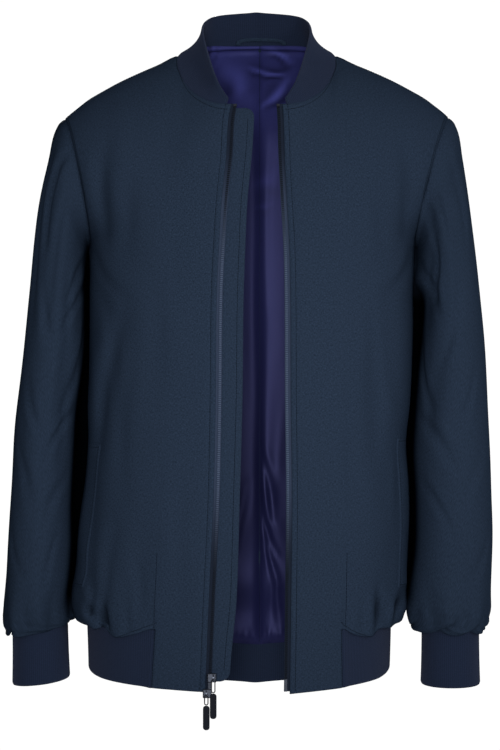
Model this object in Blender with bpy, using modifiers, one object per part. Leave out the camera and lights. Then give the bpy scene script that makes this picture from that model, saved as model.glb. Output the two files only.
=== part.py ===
"""A bomber jacket, worn open and filled out: cloth walls, rib collar, hem and cuffs, zip and lining.

Frame: metres, +Z up, the front faces -Y, and the wearer's right is at -X. The origin is the middle of the
neck opening, between the two neck points, at the height of the seam at the back of the neck.
Every size below is in millimetres; MM turns it into metres when a mesh is made.
"""

import math

import bmesh
import bpy
from mathutils import Vector

MM = 0.001

CLOTH = 2.0           # outer cloth, with its seam allowances
RIB = 3.0             # doubled knit rib
LINING = 1.0          # satin
TAPE = 1.0            # woven zip tape
SEAM = 0.3            # gap between two sewn pieces
SIDE_Y = 5.0          # the side seams and shoulder seams lie at this depth
SQUARE = 2.35         # power of the body's rounded section: 2 is an ellipse
CHEST_Z = -237.0      # height of the underarm points
CREST = {-1: 112.0, 1: 122.0}    # the front and the back round over to the shoulders within this height
RIGHT, LEFT = -1, 1   # the wearer's right is at -X
SIDES = ((RIGHT, "right"), (LEFT, "left"))
FRONT, BACK = -1, 1

RIB_END = {-1: 0.378, 1: 0.435}    # where the hem rib begins: share of a front from its edge to the side seam
BLOCK_FLARE = 0.08    # how much wider a front's block is at the bottom of the rib
FRONT_COLUMNS = (6, 8)      # columns before and after the end of the rib
BACK_COLUMNS = 30
NECK_COLUMN = 5        # column of each half of the back that runs up to the neck point
SLEEVE_COLUMNS = 28
UPPER_STEPS = (0.86, 0.71, 0.57, 0.43, 0.29, 0.15, 0.05, 0.0)   # rows from the chest line up to the top edge
UPPER_EASE = 1.7      # how the rows gather towards the top edge, at the front's edge and the back's middle
COLUMN_EASE = 1.2     # how the columns turn from upright at the edge to the armhole's curve
CREST_LIMIT = 0.995   # a top edge counts as at most this share of the full depth
SEWN_EDGE = 0.995     # the folds stop at this share of the way out to the armhole
RELAX_TIMES, RELAX_REACH, RELAX_SHARE = 4, 3.0, 0.5    # evening out below the neck points


class Table:
    """Rows of named columns, read with a smooth curve through them along the first column."""

    def __init__(self, names, rows):
        self.names = names.split()
        self.rows = sorted(rows)
        self.keys = [row[0] for row in self.rows]

    def slope(self, i, c):
        a, b = max(i - 1, 0), min(i + 1, len(self.rows) - 1)
        return (self.rows[b][c] - self.rows[a][c]) / (self.keys[b] - self.keys[a])

    def at(self, key, name):
        c = self.names.index(name)
        if key <= self.keys[0]:
            return self.rows[0][c]
        if key >= self.keys[-1]:
            return self.rows[-1][c]
        i = next(k for k in range(len(self.keys) - 1) if self.keys[k + 1] >= key)
        span = self.keys[i + 1] - self.keys[i]
        t = (key - self.keys[i]) / span
        near, far = self.rows[i][c], self.rows[i + 1][c]
        rise = (2 * t ** 3 - 3 * t ** 2 + 1) * near + (3 * t ** 2 - 2 * t ** 3) * far
        lean = (t ** 3 - 2 * t ** 2 + t) * self.slope(i, c) + (t ** 3 - t ** 2) * self.slope(i + 1, c)
        return rise + span * lean


# Half widths to each side, and how far the front and back stand from the side seams, by height.
BODY = Table("z right left front back", [
    (0, 240, 240, 100, 85),
    (-50, 240, 239, 105, 95),
    (-92, 238, 236, 110, 106),
    (-130, 232, 229, 118, 111),
    (-165, 221, 217, 123, 114),
    (-200, 207, 201, 127, 116),
    (-237, 193, 184, 130, 118),
    (-278, 193, 182, 131, 119),
    (-360, 193.5, 181.5, 132, 119),
    (-417, 194, 177.5, 132, 119),
    (-450, 194, 174, 132, 119),
    (-475, 195, 173, 132, 119),
    (-520, 199, 177, 132, 119),
    (-567, 206, 177, 132, 119),
    (-607, 209, 175, 131, 118),
    (-637, 214, 174, 131, 118),
    (-655, 213.5, 173, 130.5, 117.5),
    (-672, 209, 168, 130, 117),
    (-745, 206, 162, 128, 115),
])

# The ridge of the shoulders, from the centre outwards. Inside the neck points it only guides the surface.
RIDGE = Table("x z", [
    (0, 12), (50, 4), (91, -19), (115, -29.5), (145, -43), (172, -57), (196, -71), (211, -83), (223, -92.5),
    (245, -115),
])

# The neck seam and the free top edge of the collar, from the zip round to the back of the neck.
NECK = Table("turn x y z top_x top_y top_z", [
    (0.00, 28.9, -101.5, -85, 29.5, -101, -82),
    (0.05, 37.5, -100, -84.5, 34.5, -99, -76),
    (0.17, 57.0, -91, -79, 47.5, -87, -54),
    (0.34, 78.5, -65, -61.5, 57.0, -54, -24),
    (0.50, 90.0, -30, -37, 62.5, -22, -1),
    (0.62, 91.0, 3, -19, 64.0, 10, 14),
    (0.75, 79.0, 34, -8, 60.0, 35, 26),
    (0.87, 50.0, 56, -2, 45.0, 52, 34),
    (1.00, 0.0, 65, 0, 0.0, 60, 39),
])
NECK_POINT = 0.62
COLLAR_START = 0.035    # the collar begins beside the top stop of the zip
COLLAR_KNEE = (0.95, 0.8, 0.34)    # where the collar turns upright: shares of its way in, depth and height

# Where the folded front edges hang, and the free edge of the zip guard, by height.
ZIP = Table("z right left guard", [
    (-85, -28.9, 28.9, -2),
    (-106, -32.1, 30.1, -3),
    (-139, -33.6, 30.8, -5),
    (-195, -39.1, 33.5, -10.3),
    (-250, -42.4, 36.6, -12.7),
    (-305, -44.8, 37.6, -14.6),
    (-416, -45.9, 38.1, -15.8),
    (-527, -48.2, 39.3, -18.8),
    (-637, -53.3, 38.2, -22.3),
    (-692, -55.6, 37.6, -27.5),
    (-742, -57.6, 36.9, -31.5),
])

# The hem rib, by angle round the body: 0 at the front, 90 at the side seams, 180 at the back.
HEM = Table("turn top bottom blouse", [
    (0, -671, -738, 0),
    (30, -671, -738, 0),
    (45, -670, -735, 0.75),
    (65, -667, -731, 1),
    (90, -664, -725, 1),
    (120, -672, -734, 0.9),
    (150, -686, -748, 0.8),
    (180, -694, -756, 0.8),
])
HEM_HALF = {RIGHT: (196, 194.5), LEFT: (155.5, 154)}     # half width at the top and bottom edge
HEM_DEEP = {FRONT: (131.5, 130), BACK: (107, 105.5)}

BLOCK_BOTTOM = {RIGHT: -740.0, LEFT: -742.0}    # the blocks' lowest edge, at the zip
BLOCK_BOTTOM_OUT = -737.0                       # and beside the rib

# Steps of the body's roll over the hem rib: share of the way out to the body, height over the rib's top
# where nothing hangs over and with the full overhang, and how far the overhang stands off the rib.
ROLL = ((0.0, 0.3, 0.3, 0.0), (0.2, 2.0, -4.0, 3.4), (0.7, 6.0, -5.0, 6.0), (0.97, 13.0, 5.0, 7.5))
BODY_ROWS = (-640, -612, -580, -545, -505, -465, -425, -380, -335, -290, CHEST_Z)

# Rings of each sleeve from the armhole to the cuff: its outer and inner edge, its middle and its depth.
# bow hollows the armhole's edge, and nest is how far the sleeve's back lies in behind the body's side.
SLEEVE_NAMES = "ring out_x out_z in_x in_z mid_y deep bow nest"
SLEEVE = {
    RIGHT: Table(SLEEVE_NAMES, [
        (0, 222.6, -92.6, 193, -237, 8, 76, 8, 0),
        (1, 228.5, -97.7, 196.4, -239.5, 8, 77, 7, 0),
        (2, 233.5, -107, 197.6, -245, 8, 78, 5, 1),
        (3, 241.0, -139, 197.6, -260, 7, 79, 3, 5),
        (4, 248.5, -180, 197, -285, 6, 79, 1, 7),
        (5, 255.5, -230, 196.4, -318, 5, 78, 0, 8),
        (6, 261.5, -285, 197, -354, 4, 76, 0, 9),
        (7, 267.5, -343, 200.5, -392, 3, 74, 0, 13),
        (8, 273.0, -402, 206, -432, 1, 72, 0, 18),
        (9, 278.5, -457, 208, -474, -2, 70, 0, 19.5),
        (10, 282.0, -515, 210, -524, -5, 67, 0, 17),
        (11, 284.5, -568, 212, -571, -8, 65, 0, 10.5),
        (12, 287.0, -612, 214.5, -612, -10, 62, 0, 8),
        (13, 289.0, -642, 218.5, -640, -11, 60, 0, 4),
        (14, 289.5, -658, 220, -655, -11, 57, 0, 1),
        (15, 287.0, -671, 218.6, -664, -11, 50, 0, 0),
        (16, 285.0, -679, 217.6, -668.4, -11, 42, 0, 0),
        (17, 280.8, -677.5, 217, -672.0, -11, 35, 0, 0),
    ]),
    LEFT: Table(SLEEVE_NAMES, [
        (0, 222.9, -90.8, 184, -237, 8, 76, 8, 0),
        (1, 228.5, -96.0, 187.4, -239.5, 8, 77, 7, 0),
        (2, 232.5, -105, 188.2, -245, 8, 78, 5, 3),
        (3, 238.0, -137, 189, -260, 7, 79, 3, 8),
        (4, 244.5, -177, 191.5, -286, 6, 79, 1, 13),
        (5, 250.5, -227, 191, -318, 5, 78, 0, 14),
        (6, 257.0, -282, 188, -354, 4, 76, 0, 12),
        (7, 262.5, -341, 184, -392, 3, 74, 0, 10),
        (8, 266.5, -401, 180.5, -432, 1, 72, 0, 9),
        (9, 268.5, -457, 177.8, -474, -2, 70, 0, 9),
        (10, 270.5, -515, 180, -524, -5, 67, 0, 8.5),
        (11, 271.5, -568, 180, -571, -8, 65, 0, 8.5),
        (12, 270.5, -612, 179, -612, -10, 62, 0, 7.5),
        (13, 269.5, -642, 180.8, -640, -11, 60, 0, 3),
        (14, 269.5, -658, 183, -655, -11, 57, 0, 0),
        (15, 267.5, -671, 187.6, -665, -11, 50, 0, 0),
        (16, 262.0, -678, 189.4, -670, -11, 42, 0, 0),
        (17, 256.0, -677.0, 190, -674, -11, 35, 0, 0),
    ]),
}
SLEEVE_LAST = 17
RING_POWER = 0.95     # below 1 squares the sleeve's section a little
NEST_PEAK = 4 / 27    # the largest value of the nest's shape round the ring
CUFF_BOTTOM = {RIGHT: (-739, -731), LEFT: (-742, -742)}    # heights of the outer and inner edge
CUFF_FRONT_DROP = 2.5
FOLD_REST, FOLD_ENDS = 0.35, (0.08, 0.92)    # share of a fold's depth at its ends, and where they lie
SLEEVE_FADE = 18.0    # how far a sleeve's fold runs out past its ends
INNER_FROM, INNER_TO, INNER_EASE = 140, 220, 20    # degrees between which no fold stands out towards the body
SLEEVE_SEAM, BACK_SEAM, RIB_SEAM = 1.4 * SEAM, 2.5 * SEAM, 3 * SEAM    # wider gaps where the seams turn
FRONT_TURN, BACK_TURN = 0.75, 0.6    # how much closer together the columns are towards the side
BAND_ROWS = (0, 0.5, 1)    # rows of the cuffs and the hem rib
COLLAR_ROWS = (0.0, 0.3, 0.65, 1.0)
SHORTEST_CELL = 2.0    # least height between a front's rows beside the zip
GUARD_COLUMNS = (0.5, 1.0)
BLOCK_ROUND, BLOCK_SEGMENTS, TAB_STEPS, LINK_SIDES = 1.0, 2, 4, 2

# The zip: its tape lies behind the front's edge, with the chain on the tape's free edge.
ZIP_HIGH, ZIP_LOW = -85.0, -739.0
EDGE_TO_CHAIN = 4.8
CHAIN_WIDE, CHAIN_DEEP, CHAIN_BACK, CHAIN_SHORT = 2.8, 1.6, 0.4, 14.0
STOP_HIGH, STOP_WIDER, STOP_PROUD = 3.0, 0.4, 0.4
TAPE_FREE, TAPE_BACK, TAPE_SEWN = 6.9, 2.4, 8.0    # how far it shows, lies back, and runs in under the front
GUARD_BACK, GUARD_LEAN, GUARD_SEWN = 4.7, 1.0, 9.0
GUARD_ENDS = ((-729, 12), (-726, 5), (-721, 1), (-714, 0), (-681, 0), (-620, 0), (-545, 0), (-465, 0),
              (-380, 0), (-300, 0), (-237, 0), (-190, 0), (-150, 0), (-125, 0), (-102, 0), (-95, 1), (-91, 5),
              (-89, 12))
WELT_COLUMNS, WELT_ROWS, WELT_FOOT, WELT_WALL = (11, 12, 13), (-612, -580, -545, -505, -465), 0.4, 1.4
LINING_REACH, LINING_GAP, PLEAT_SHIFT, LINING_NARROW = 0.9, 2.5, 4.0, 0.97
LINING_ROLL = ((-17, 0.9), (-8, 3.5), (5, 2.5), (18, 0.5))    # height over the rib's top, and off its inside
LOOP_X, LOOP_HALF, LOOP_WIDE, LOOP_TOP, LOOP_FOOT, LOOP_GAP, LOOP_WALL = 5.5, 29.5, 5.0, 11.0, 0.5, 1.9, 1.2
LOOP_STEPS, LOOP_SQUARE = 12, 0.55
TURN_BY_X = 0.0026    # share of the neck's turn for each millimetre from the middle of the back

# Two sliders on the wearer's right chain: middle, and where the pull hangs, its link and its tab.
SLIDERS = (("upper", -49.8, -723.5, -48.2, 15.0, 28.0), ("lower", -54.9, -741.0, -55.9, 11.0, 27.0))
SLIDER_WIDE, SLIDER_DEEP, SLIDER_HIGH = 10.0, 3.6, 10.0
BAIL_HALF, BAIL_RISE, BAIL_WIRE, BAIL_ROOT = 2.6, 2.3, 1.1, 0.6
BAIL_STEPS, BAIL_POWER = 8, 0.7
PIN_OUT, PIN_DROP = 1.15, 1.2
LINK_WIRE, LINK_HALF, LINK_STEPS = 0.65, 1.9, 6
TAB_WIDE, TAB_ROUND, TAB_WALL = 7.4, 3.2, 1.6

# Soft folds of the panels: from one point to another, half width and depth. Positive stands out.
FOLDS = {
    (RIGHT, FRONT): [
        (-176, -135, -174, -222, 11, -4.0),
        (-154, -325, -178, -470, 12, -3.5),
        (-172, -335, -191, -455, 9, 3.0),
        (-120, -560, -135, -650, 14, -2.0),
        (-176, -640, -173, -676, 6, -5.0),
        (-192, -635, -190, -676, 5, 3.0),
    ],
    (LEFT, FRONT): [
        (172, -130, 168, -215, 11, -4.0),
        (127, -330, 132, -470, 14, -3.0),
        (150, -480, 148, -640, 12, -2.0),
        (140, -625, 146, -672, 6, -4.0),
        (160, -635, 158, -672, 5, -3.0),
    ],
    (RIGHT, BACK): [
        (-150, -150, -165, -330, 14, -4.0),
        (-60, -260, -120, -560, 22, -3.0),
        (-175, -430, -150, -600, 12, 3.0),
    ],
    (LEFT, BACK): [
        (145, -150, 160, -320, 14, -4.0),
        (70, -300, 110, -600, 22, -3.0),
        (150, -420, 165, -590, 12, 3.0),
    ],
}
# Soft folds of the sleeves: height and angle of each end, half width in degrees, and depth.
SLEEVE_FOLDS = {
    RIGHT: [
        (-190, 60, -330, 78, 12, -3.5),
        (-300, 112, -455, 128, 11, -4.0),
        (-470, 70, -560, 95, 12, 2.0),
        (-330, 240, -420, 285, 14, -4.0),
        (-440, 235, -500, 280, 12, -3.0),
    ],
    LEFT: [
        (-150, 66, -300, 74, 12, -3.0),
        (-215, 112, -305, 138, 10, -4.5),
        (-340, 100, -430, 128, 12, -3.0),
        (-330, 240, -420, 285, 14, -4.0),
        (-440, 235, -500, 280, 12, -3.0),
    ],
}
HEM_GATHERS = 12      # waves of the back over the hem rib
HEM_GATHER_DEEP = 2.2
CUFF_GATHERS = 7
CUFF_GATHER_DEEP = 3.4
CUFF_GATHER_RING = 15.0      # the gathers are deepest here and fade over this many rings above
CUFF_GATHER_RISE = 3.2
GATHER_RISE = 45.0    # the gathers fade over this height
GATHER_FADE = 1.5
SIDE_EASE, ROLL_EASE = 4.0, 6.0    # how fast the folds begin at the side seams, and the roll beside the block


def clamp(value, low=0.0, high=1.0):
    return max(low, min(high, value))


def mix(a, b, t):
    return a + (b - a) * t


def side_name(side):
    return "right" if side == RIGHT else "left"


def arc(share, half, deep):
    """How far a rounded section stands out at a share of its half width."""
    return deep * (1 - clamp(abs(share) / half) ** SQUARE) ** (1 / SQUARE)


def stand_out(face, side, x, z):
    """How far the full body surface stands from the side seams."""
    return arc(x, BODY.at(z, side_name(side)), BODY.at(z, "front" if face == FRONT else "back"))


def torso_y(face, side, x, z):
    """Depth of the plain body surface below the shoulders, without folds."""
    return SIDE_Y + face * stand_out(face, side, x, z)


def arched(drop):
    """Share of its full depth that a panel has reached at a drop below its crest, as a share of CREST."""
    return math.sqrt(1 - (1 - clamp(drop)) ** 2)


def fold_push(folds, x, z):
    """How far the folds move a point in or out."""
    push = 0.0
    for x0, z0, x1, z1, wide, deep in folds:
        along = clamp(((x - x0) * (x1 - x0) + (z - z0) * (z1 - z0)) / ((x1 - x0) ** 2 + (z1 - z0) ** 2))
        off = math.hypot(x - mix(x0, x1, along), z - mix(z0, z1, along)) / wide
        push += deep * math.exp(-off * off) * mix(FOLD_REST, 1, math.sin(math.pi * clamp(along, *FOLD_ENDS)))
    return push


def settle(face, side, x, y, z):
    """Move a point of the body along the section's outward direction by its folds."""
    half = BODY.at(z, side_name(side))
    deep = BODY.at(z, "front" if face == FRONT else "back")
    share_x = clamp(abs(x) / half)
    share_y = clamp(abs(y - SIDE_Y) / deep)
    out = Vector((math.copysign(share_x ** (SQUARE - 1) / half, x), face * share_y ** (SQUARE - 1) / deep, 0))
    push = fold_push(FOLDS[(side, face)], x, z) * clamp(share_y * SIDE_EASE)
    return Vector((x, y, z)) + out.normalized() * push


def front_edge_x(side, z):
    """The folded edge of a front, beside its zip."""
    return ZIP.at(z, side_name(side))


def block_share(side, h, z):
    """The share of a front at a column of its block, which widens downwards beside the rib."""
    top, bottom = HEM.at(0, "top"), HEM.at(0, "bottom")
    return h * (1 + BLOCK_FLARE * clamp((top - z) / (top - bottom)))


def front_low(side, h, z):
    """A front at a share h from its edge to the side seam, below the underarm."""
    edge = front_edge_x(side, z)
    half = side * BODY.at(z, side_name(side))
    x = mix(edge, half, h)
    return settle(FRONT, side, x, torso_y(FRONT, side, x, z), z)


def hem_turn(face, share):
    """Angle round the hem, in degrees, at a share of the section's half width."""
    turn = math.degrees(math.asin(clamp(share)))
    return turn if face == FRONT else 180 - turn


def hem_point(face, side, x_share, low):
    """The hem rib's outer surface: low is 0 at its top edge and 1 at its bottom edge."""
    half = mix(*HEM_HALF[side], low)
    deep = mix(*HEM_DEEP[face], low)
    turn = hem_turn(face, x_share)
    z = mix(HEM.at(turn, "top"), HEM.at(turn, "bottom"), low)
    y = SIDE_Y + face * deep * (1 - clamp(x_share) ** SQUARE) ** (1 / SQUARE)
    return Vector((side * half * x_share, y, z))


def rib_end_share(side):
    """Share of the rib's half width at which it starts."""
    z = HEM.at(30, "top")
    edge = front_edge_x(side, z)
    x = mix(edge, side * BODY.at(z, side_name(side)), RIB_END[side])
    return abs(x) / HEM_HALF[side][0]


def rolled(face, side, rib_share, step, body_at, ease=1.0):
    """A point of a panel at one step of its roll over the hem rib."""
    out, plain, hung, stand = ROLL[step]
    turn = hem_turn(face, rib_share)
    blouse = HEM.at(turn, "blouse")
    z = HEM.at(turn, "top") + mix(plain, hung, blouse ** 2)
    rib = hem_point(face, side, rib_share, 0)
    away = Vector((side * rib_share ** (SQUARE - 1) / HEM_HALF[side][0],
                   face * (1 - rib_share ** SQUARE) ** (1 - 1 / SQUARE) / HEM_DEEP[face][0], 0)).normalized()
    level = Vector((rib.x, rib.y, z)) + away * stand * math.sqrt(blouse)
    return level.lerp(body_at(z), mix(1, out, ease))


def front_roll(side, h, step):
    """A front at one step of its roll over the hem rib."""
    past = clamp((h - RIB_END[side]) / (1 - RIB_END[side]))
    rib_share = mix(rib_end_share(side), 1, past)
    return rolled(FRONT, side, rib_share, step, lambda z: front_low(side, h, z), clamp(past * ROLL_EASE))


def neck_point(side, turn, names="x y z"):
    x, y, z = (NECK.at(turn, name) for name in names.split())
    return Vector((side * x, y, z))


def front_top(side, h):
    """The top edge of a front: up the neck seam from the zip, then out along the shoulder seam."""
    if h < RIB_END[side]:
        return neck_point(side, NECK_POINT * h / RIB_END[side])
    return shoulder_point(side, (h - RIB_END[side]) / (1 - RIB_END[side]))


def shoulder_point(side, t):
    """The shoulder seam, from the neck point out to the armhole."""
    start = neck_point(side, NECK_POINT)
    end = ring_point(side, 0, 0.0)
    x = mix(start.x, end.x, t)
    ease = (start.z - RIDGE.at(abs(start.x), "z")) * (1 - t) + (end.z - RIDGE.at(abs(end.x), "z")) * t
    return Vector((x, mix(start.y, end.y, t), RIDGE.at(abs(x), "z") + ease))


def ring_point(side, ring, phi):
    """A point of a sleeve's ring: phi is 0 at its outer edge, a quarter turn on in front, half inside."""
    rows = SLEEVE[side]
    out_x, out_z, in_x, in_z, mid_y, deep, bow, nest = (rows.at(ring, name) for name in rows.names[1:])
    near, far = math.sin(phi), math.cos(phi)
    across = (1 + math.copysign(abs(far) ** RING_POWER, far)) / 2
    x = mix(in_x, out_x, across) - bow * abs(near)
    if near < 0 and far < 0:
        x -= nest * near ** 2 * far ** 4 / NEST_PEAK
    y = mid_y - deep * math.copysign(abs(near) ** RING_POWER, near)
    return Vector((side * x, y, mix(in_z, out_z, across)))


def armhole_point(side, face, w):
    """The edge of the armhole: w is 1 at the underarm and 0 at the shoulder."""
    return ring_point(side, 0, -face * math.pi * w)


def edge_bend(side, rise):
    """How far a front's edge lies from the straight line between its ends on the chest and at the neck."""
    top = neck_point(side, 0)
    z = mix(CHEST_Z, top.z, rise)
    return front_edge_x(side, z) - mix(front_edge_x(side, CHEST_Z), top.x, rise)


def upper(face, side, low, top, w, u):
    """A panel between its chest line and its top edge. u is 1 at the armhole and 0 at the edge or middle."""
    rise = 1 - mix(w ** UPPER_EASE, (1 - math.cos(math.pi * w)) / 2, u)
    point = low.lerp(top, rise)
    hole, hole_top, hole_low = (armhole_point(side, face, k) for k in (w, 0, 1))
    near = u ** 3
    bend = hole - hole_low.lerp(hole_top, (1 + math.cos(math.pi * w)) / 2)
    x = point.x + bend.x * near
    z = point.z + bend.z * near
    if face == FRONT:
        x += edge_bend(side, rise) * (1 - u) ** 3
    crest = CREST[face]
    reached = clamp(face * (top.y - SIDE_Y) / stand_out(face, side, top.x, top.z), 0, CREST_LIMIT)
    crest_z = top.z + crest * (1 - math.sqrt(1 - reached ** 2))

    def depth(px, pz):
        return SIDE_Y + face * stand_out(face, side, px, pz) * arched((crest_z - pz) / crest)

    top_gap = top.y - depth(top.x, top.z)
    hole_gap = hole.y - depth(hole.x, hole.z)
    corner_gap = hole_top.y - depth(hole_top.x, hole_top.z)
    low_gap = low.y - depth(low.x, low.z)
    fade = (1 - w) ** 2
    y = depth(x, z) + fade * top_gap + near * (hole_gap - fade * corner_gap) + w ** 6 * (1 - near) * low_gap
    return settle(face, side, x, y, z) if 0 < w < 1 and u < SEWN_EDGE else Vector((x, y, z))


def front_point(side, h, v):
    """A front by share h across it, and v: -2..0 the block beside the rib, 0..3 the roll, then rows up."""
    if v < 0:
        top = front_roll(side, h, 0)
        out = h / RIB_END[side]
        z = mix(top.z, mix(BLOCK_BOTTOM[side], BLOCK_BOTTOM_OUT, out), -v / 2)
        return front_low(side, block_share(side, h, z), z)
    if v < len(ROLL):
        return front_roll(side, h, v)
    row = v - len(ROLL)
    if row < len(BODY_ROWS):
        return front_low(side, h, BODY_ROWS[row])
    w = UPPER_STEPS[row - len(BODY_ROWS)]
    return upper(FRONT, side, front_low(side, h, CHEST_Z), front_top(side, h), w, h ** COLUMN_EASE)


def back_wave(x_share, z, seam_z):
    """The gathers of the back over the hem rib."""
    fade = clamp(1 - (z - seam_z) / GATHER_RISE) ** GATHER_FADE
    return HEM_GATHER_DEEP * fade * math.cos(2 * math.pi * HEM_GATHERS * (x_share + 1) / 2)


def back_low(share, z):
    side = RIGHT if share < 0 else LEFT
    x = share * BODY.at(z, side_name(side))
    point = settle(BACK, side, x, torso_y(BACK, side, x, z), z)
    seam_z = HEM.at(hem_turn(BACK, abs(share)), "top")
    point.y += back_wave(share, z, seam_z) * clamp((1 - abs(share)) * ROLL_EASE)
    return point


def back_half():
    """Shares of the columns of half the back, closer together towards the side."""
    half = BACK_COLUMNS // 2
    return [mix(k / half, math.sin(math.pi / 2 * k / half), BACK_TURN) for k in range(1, half + 1)]


def back_top(share):
    """The top edge of the back: shoulder seam, back of the neck, shoulder seam."""
    side = RIGHT if share < 0 else LEFT
    neck_share = back_half()[NECK_COLUMN - 1]
    if abs(share) < neck_share:
        return neck_point(side, mix(1, NECK_POINT, abs(share) / neck_share))
    return shoulder_point(side, (abs(share) - neck_share) / (1 - neck_share))


def back_rows_z(share, row):
    """Rows of the back run level above and follow the lower rib at the bottom."""
    drop = HEM.at(hem_turn(BACK, abs(share)), "top") - HEM.at(90, "top")
    return BODY_ROWS[row] + drop * clamp(1 - row / 5)


def back_point(share, v):
    """The back by share of its half width, and the same rows as the fronts."""
    side = RIGHT if share < 0 else LEFT
    if v < len(ROLL):
        return rolled(BACK, side, abs(share), v, lambda z: back_low(share, z))
    row = v - len(ROLL)
    if row < len(BODY_ROWS):
        return back_low(share, back_rows_z(share, row))
    w = UPPER_STEPS[row - len(BODY_ROWS)]
    return upper(BACK, side, back_low(share, CHEST_Z), back_top(share), w, abs(share) ** COLUMN_EASE)


PANEL_ROWS = len(ROLL) + len(BODY_ROWS) + len(UPPER_STEPS)


def relaxed(grid, centres):
    """The grid with its rows above the chest evened out about the columns below the neck points."""
    first = len(ROLL) + len(BODY_ROWS)
    for _ in range(RELAX_TIMES):
        old = [list(row) for row in grid]
        for i in range(first, PANEL_ROWS - 1):
            for j in range(1, len(grid[0]) - 1):
                share = max(clamp(1 - abs(j - c) / RELAX_REACH) for c in centres)
                middle = (old[i][j - 1] + old[i][j + 1] + old[i - 1][j] + old[i + 1][j]) / 4
                grid[i][j] = old[i][j].lerp(middle, RELAX_SHARE * share)
    return grid


def material(name, colour, rough, metallic=0.0):
    made = bpy.data.materials.new(name)
    made.use_nodes = True
    shader = made.node_tree.nodes["Principled BSDF"]
    shader.inputs["Base Color"].default_value = (*colour, 1)
    shader.inputs["Roughness"].default_value = rough
    shader.inputs["Metallic"].default_value = metallic
    return made


COLOURS = {
    "wool": ((0.020, 0.033, 0.058), 0.85, 0.0),
    "rib": ((0.013, 0.018, 0.037), 0.9, 0.0),
    "satin": ((0.017, 0.018, 0.067), 0.35, 0.0),
    "tape": ((0.012, 0.014, 0.030), 0.8, 0.0),
    "coil": ((0.03, 0.035, 0.06), 0.4, 0.0),
    "metal": ((0.10, 0.10, 0.12), 0.3, 1.0),
    "tab": ((0.008, 0.008, 0.012), 0.45, 0.0),
}


def add_mesh(name, points, faces, slot, wall=0.0, inward=-1.0):
    """One named object from points in millimetres; a wall makes it a shell with Solidify."""
    mesh = bpy.data.meshes.new(name)
    mesh.from_pydata([Vector(p) * MM for p in points], [], faces)
    mesh.validate()
    made = bpy.data.objects.new(name, mesh)
    PART.objects.link(made)
    mesh.materials.append(material(name, *COLOURS[slot]))
    mesh.shade_smooth()
    if wall:
        shell = made.modifiers.new("Wall", "SOLIDIFY")
        shell.thickness = wall * MM
        shell.offset = inward
        shell.use_even_offset = False
    return made


def sheet(name, grid, slot, wall, keep=None, closed=False, flip=False):
    """A wall through a grid of points; keep(i, j) says which of its cells are cloth."""
    rows, columns = len(grid), len(grid[0])
    used = {}
    points = []
    faces = []

    def index(i, j):
        key = (i, j % columns)
        if key not in used:
            used[key] = len(points)
            points.append(grid[key[0]][key[1]])
        return used[key]

    for i in range(rows - 1):
        for j in range(columns if closed else columns - 1):
            if keep is None or keep(i, j):
                face = [index(i, j), index(i, j + 1), index(i + 1, j + 1), index(i + 1, j)]
                faces.append(face[::-1] if flip else face)
    return add_mesh(name, points, faces, slot, wall)


def front_shares(side):
    """Shares of the columns of a front, closer together where it turns to the side."""
    near, far = FRONT_COLUMNS
    shares = [RIB_END[side] * k / near for k in range(near)]
    for k in range(far + 1):
        shares.append(mix(RIB_END[side], 1, mix(k / far, math.sin(math.pi / 2 * k / far), FRONT_TURN)))
    return shares


def front_grid(side):
    """The points of a front above the hem rib's top."""
    shares = front_shares(side)
    return relaxed([[front_point(side, h, v) for h in shares] for v in range(PANEL_ROWS)], FRONT_COLUMNS[:1])


def pull_seam(point, towards, gap):
    """Move a point a gap's width towards another."""
    return point + (towards - point).normalized() * gap


def make_front(side, name):
    """A front, with its block down to the hem beside the zip. Returns its grid of points."""
    shares = front_shares(side)
    grid = [[front_point(side, min(h, RIB_END[side]), v) for h in shares] for v in (-2, -1)]
    block = len(grid)
    grid += front_grid(side)
    for row in grid[block:]:
        row[-1] = pull_seam(row[-1], row[-2], SEAM)
    grid[-1] = [pull_seam(p, q, SEAM) for p, q in zip(grid[-1], grid[-2])]
    end = FRONT_COLUMNS[0]
    sheet(name, grid, "wool", CLOTH, lambda i, j: i >= block or j < end, flip=side == RIGHT)
    return grid


def back_shares():
    return [-s for s in reversed(back_half())] + [0.0] + back_half()


def back_grid():
    """The points of the back."""
    middle = BACK_COLUMNS // 2
    grid = [[back_point(s, v) for s in back_shares()] for v in range(PANEL_ROWS)]
    return relaxed(grid, (middle - NECK_COLUMN, middle + NECK_COLUMN))


def make_back(name):
    grid = back_grid()
    for row in grid:
        row[0] = pull_seam(row[0], row[1], SEAM)
        row[-1] = pull_seam(row[-1], row[-2], SEAM)
    grid[-1] = [pull_seam(p, q, BACK_SEAM) for p, q in zip(grid[-1], grid[-2])]
    sheet(name, grid, "wool", CLOTH, flip=True)
    return grid


def sleeve_push(side, z, degrees, ring):
    push = 0.0
    for z0, a0, z1, a1, wide, deep in SLEEVE_FOLDS[side]:
        along = clamp((z - z0) / (z1 - z0))
        beyond = max(z - z0, z1 - z, 0.0) / SLEEVE_FADE
        off = (degrees - mix(a0, a1, along)) / wide
        push += deep * math.exp(-off * off - beyond * beyond)
    above = clamp(1 - (CUFF_GATHER_RING - ring) / CUFF_GATHER_RISE)
    below = clamp((SLEEVE_LAST - ring) / (SLEEVE_LAST - CUFF_GATHER_RING)) ** GATHER_FADE
    return push + CUFF_GATHER_DEEP * min(above, below) * math.cos(math.radians(degrees) * CUFF_GATHERS)


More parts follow.
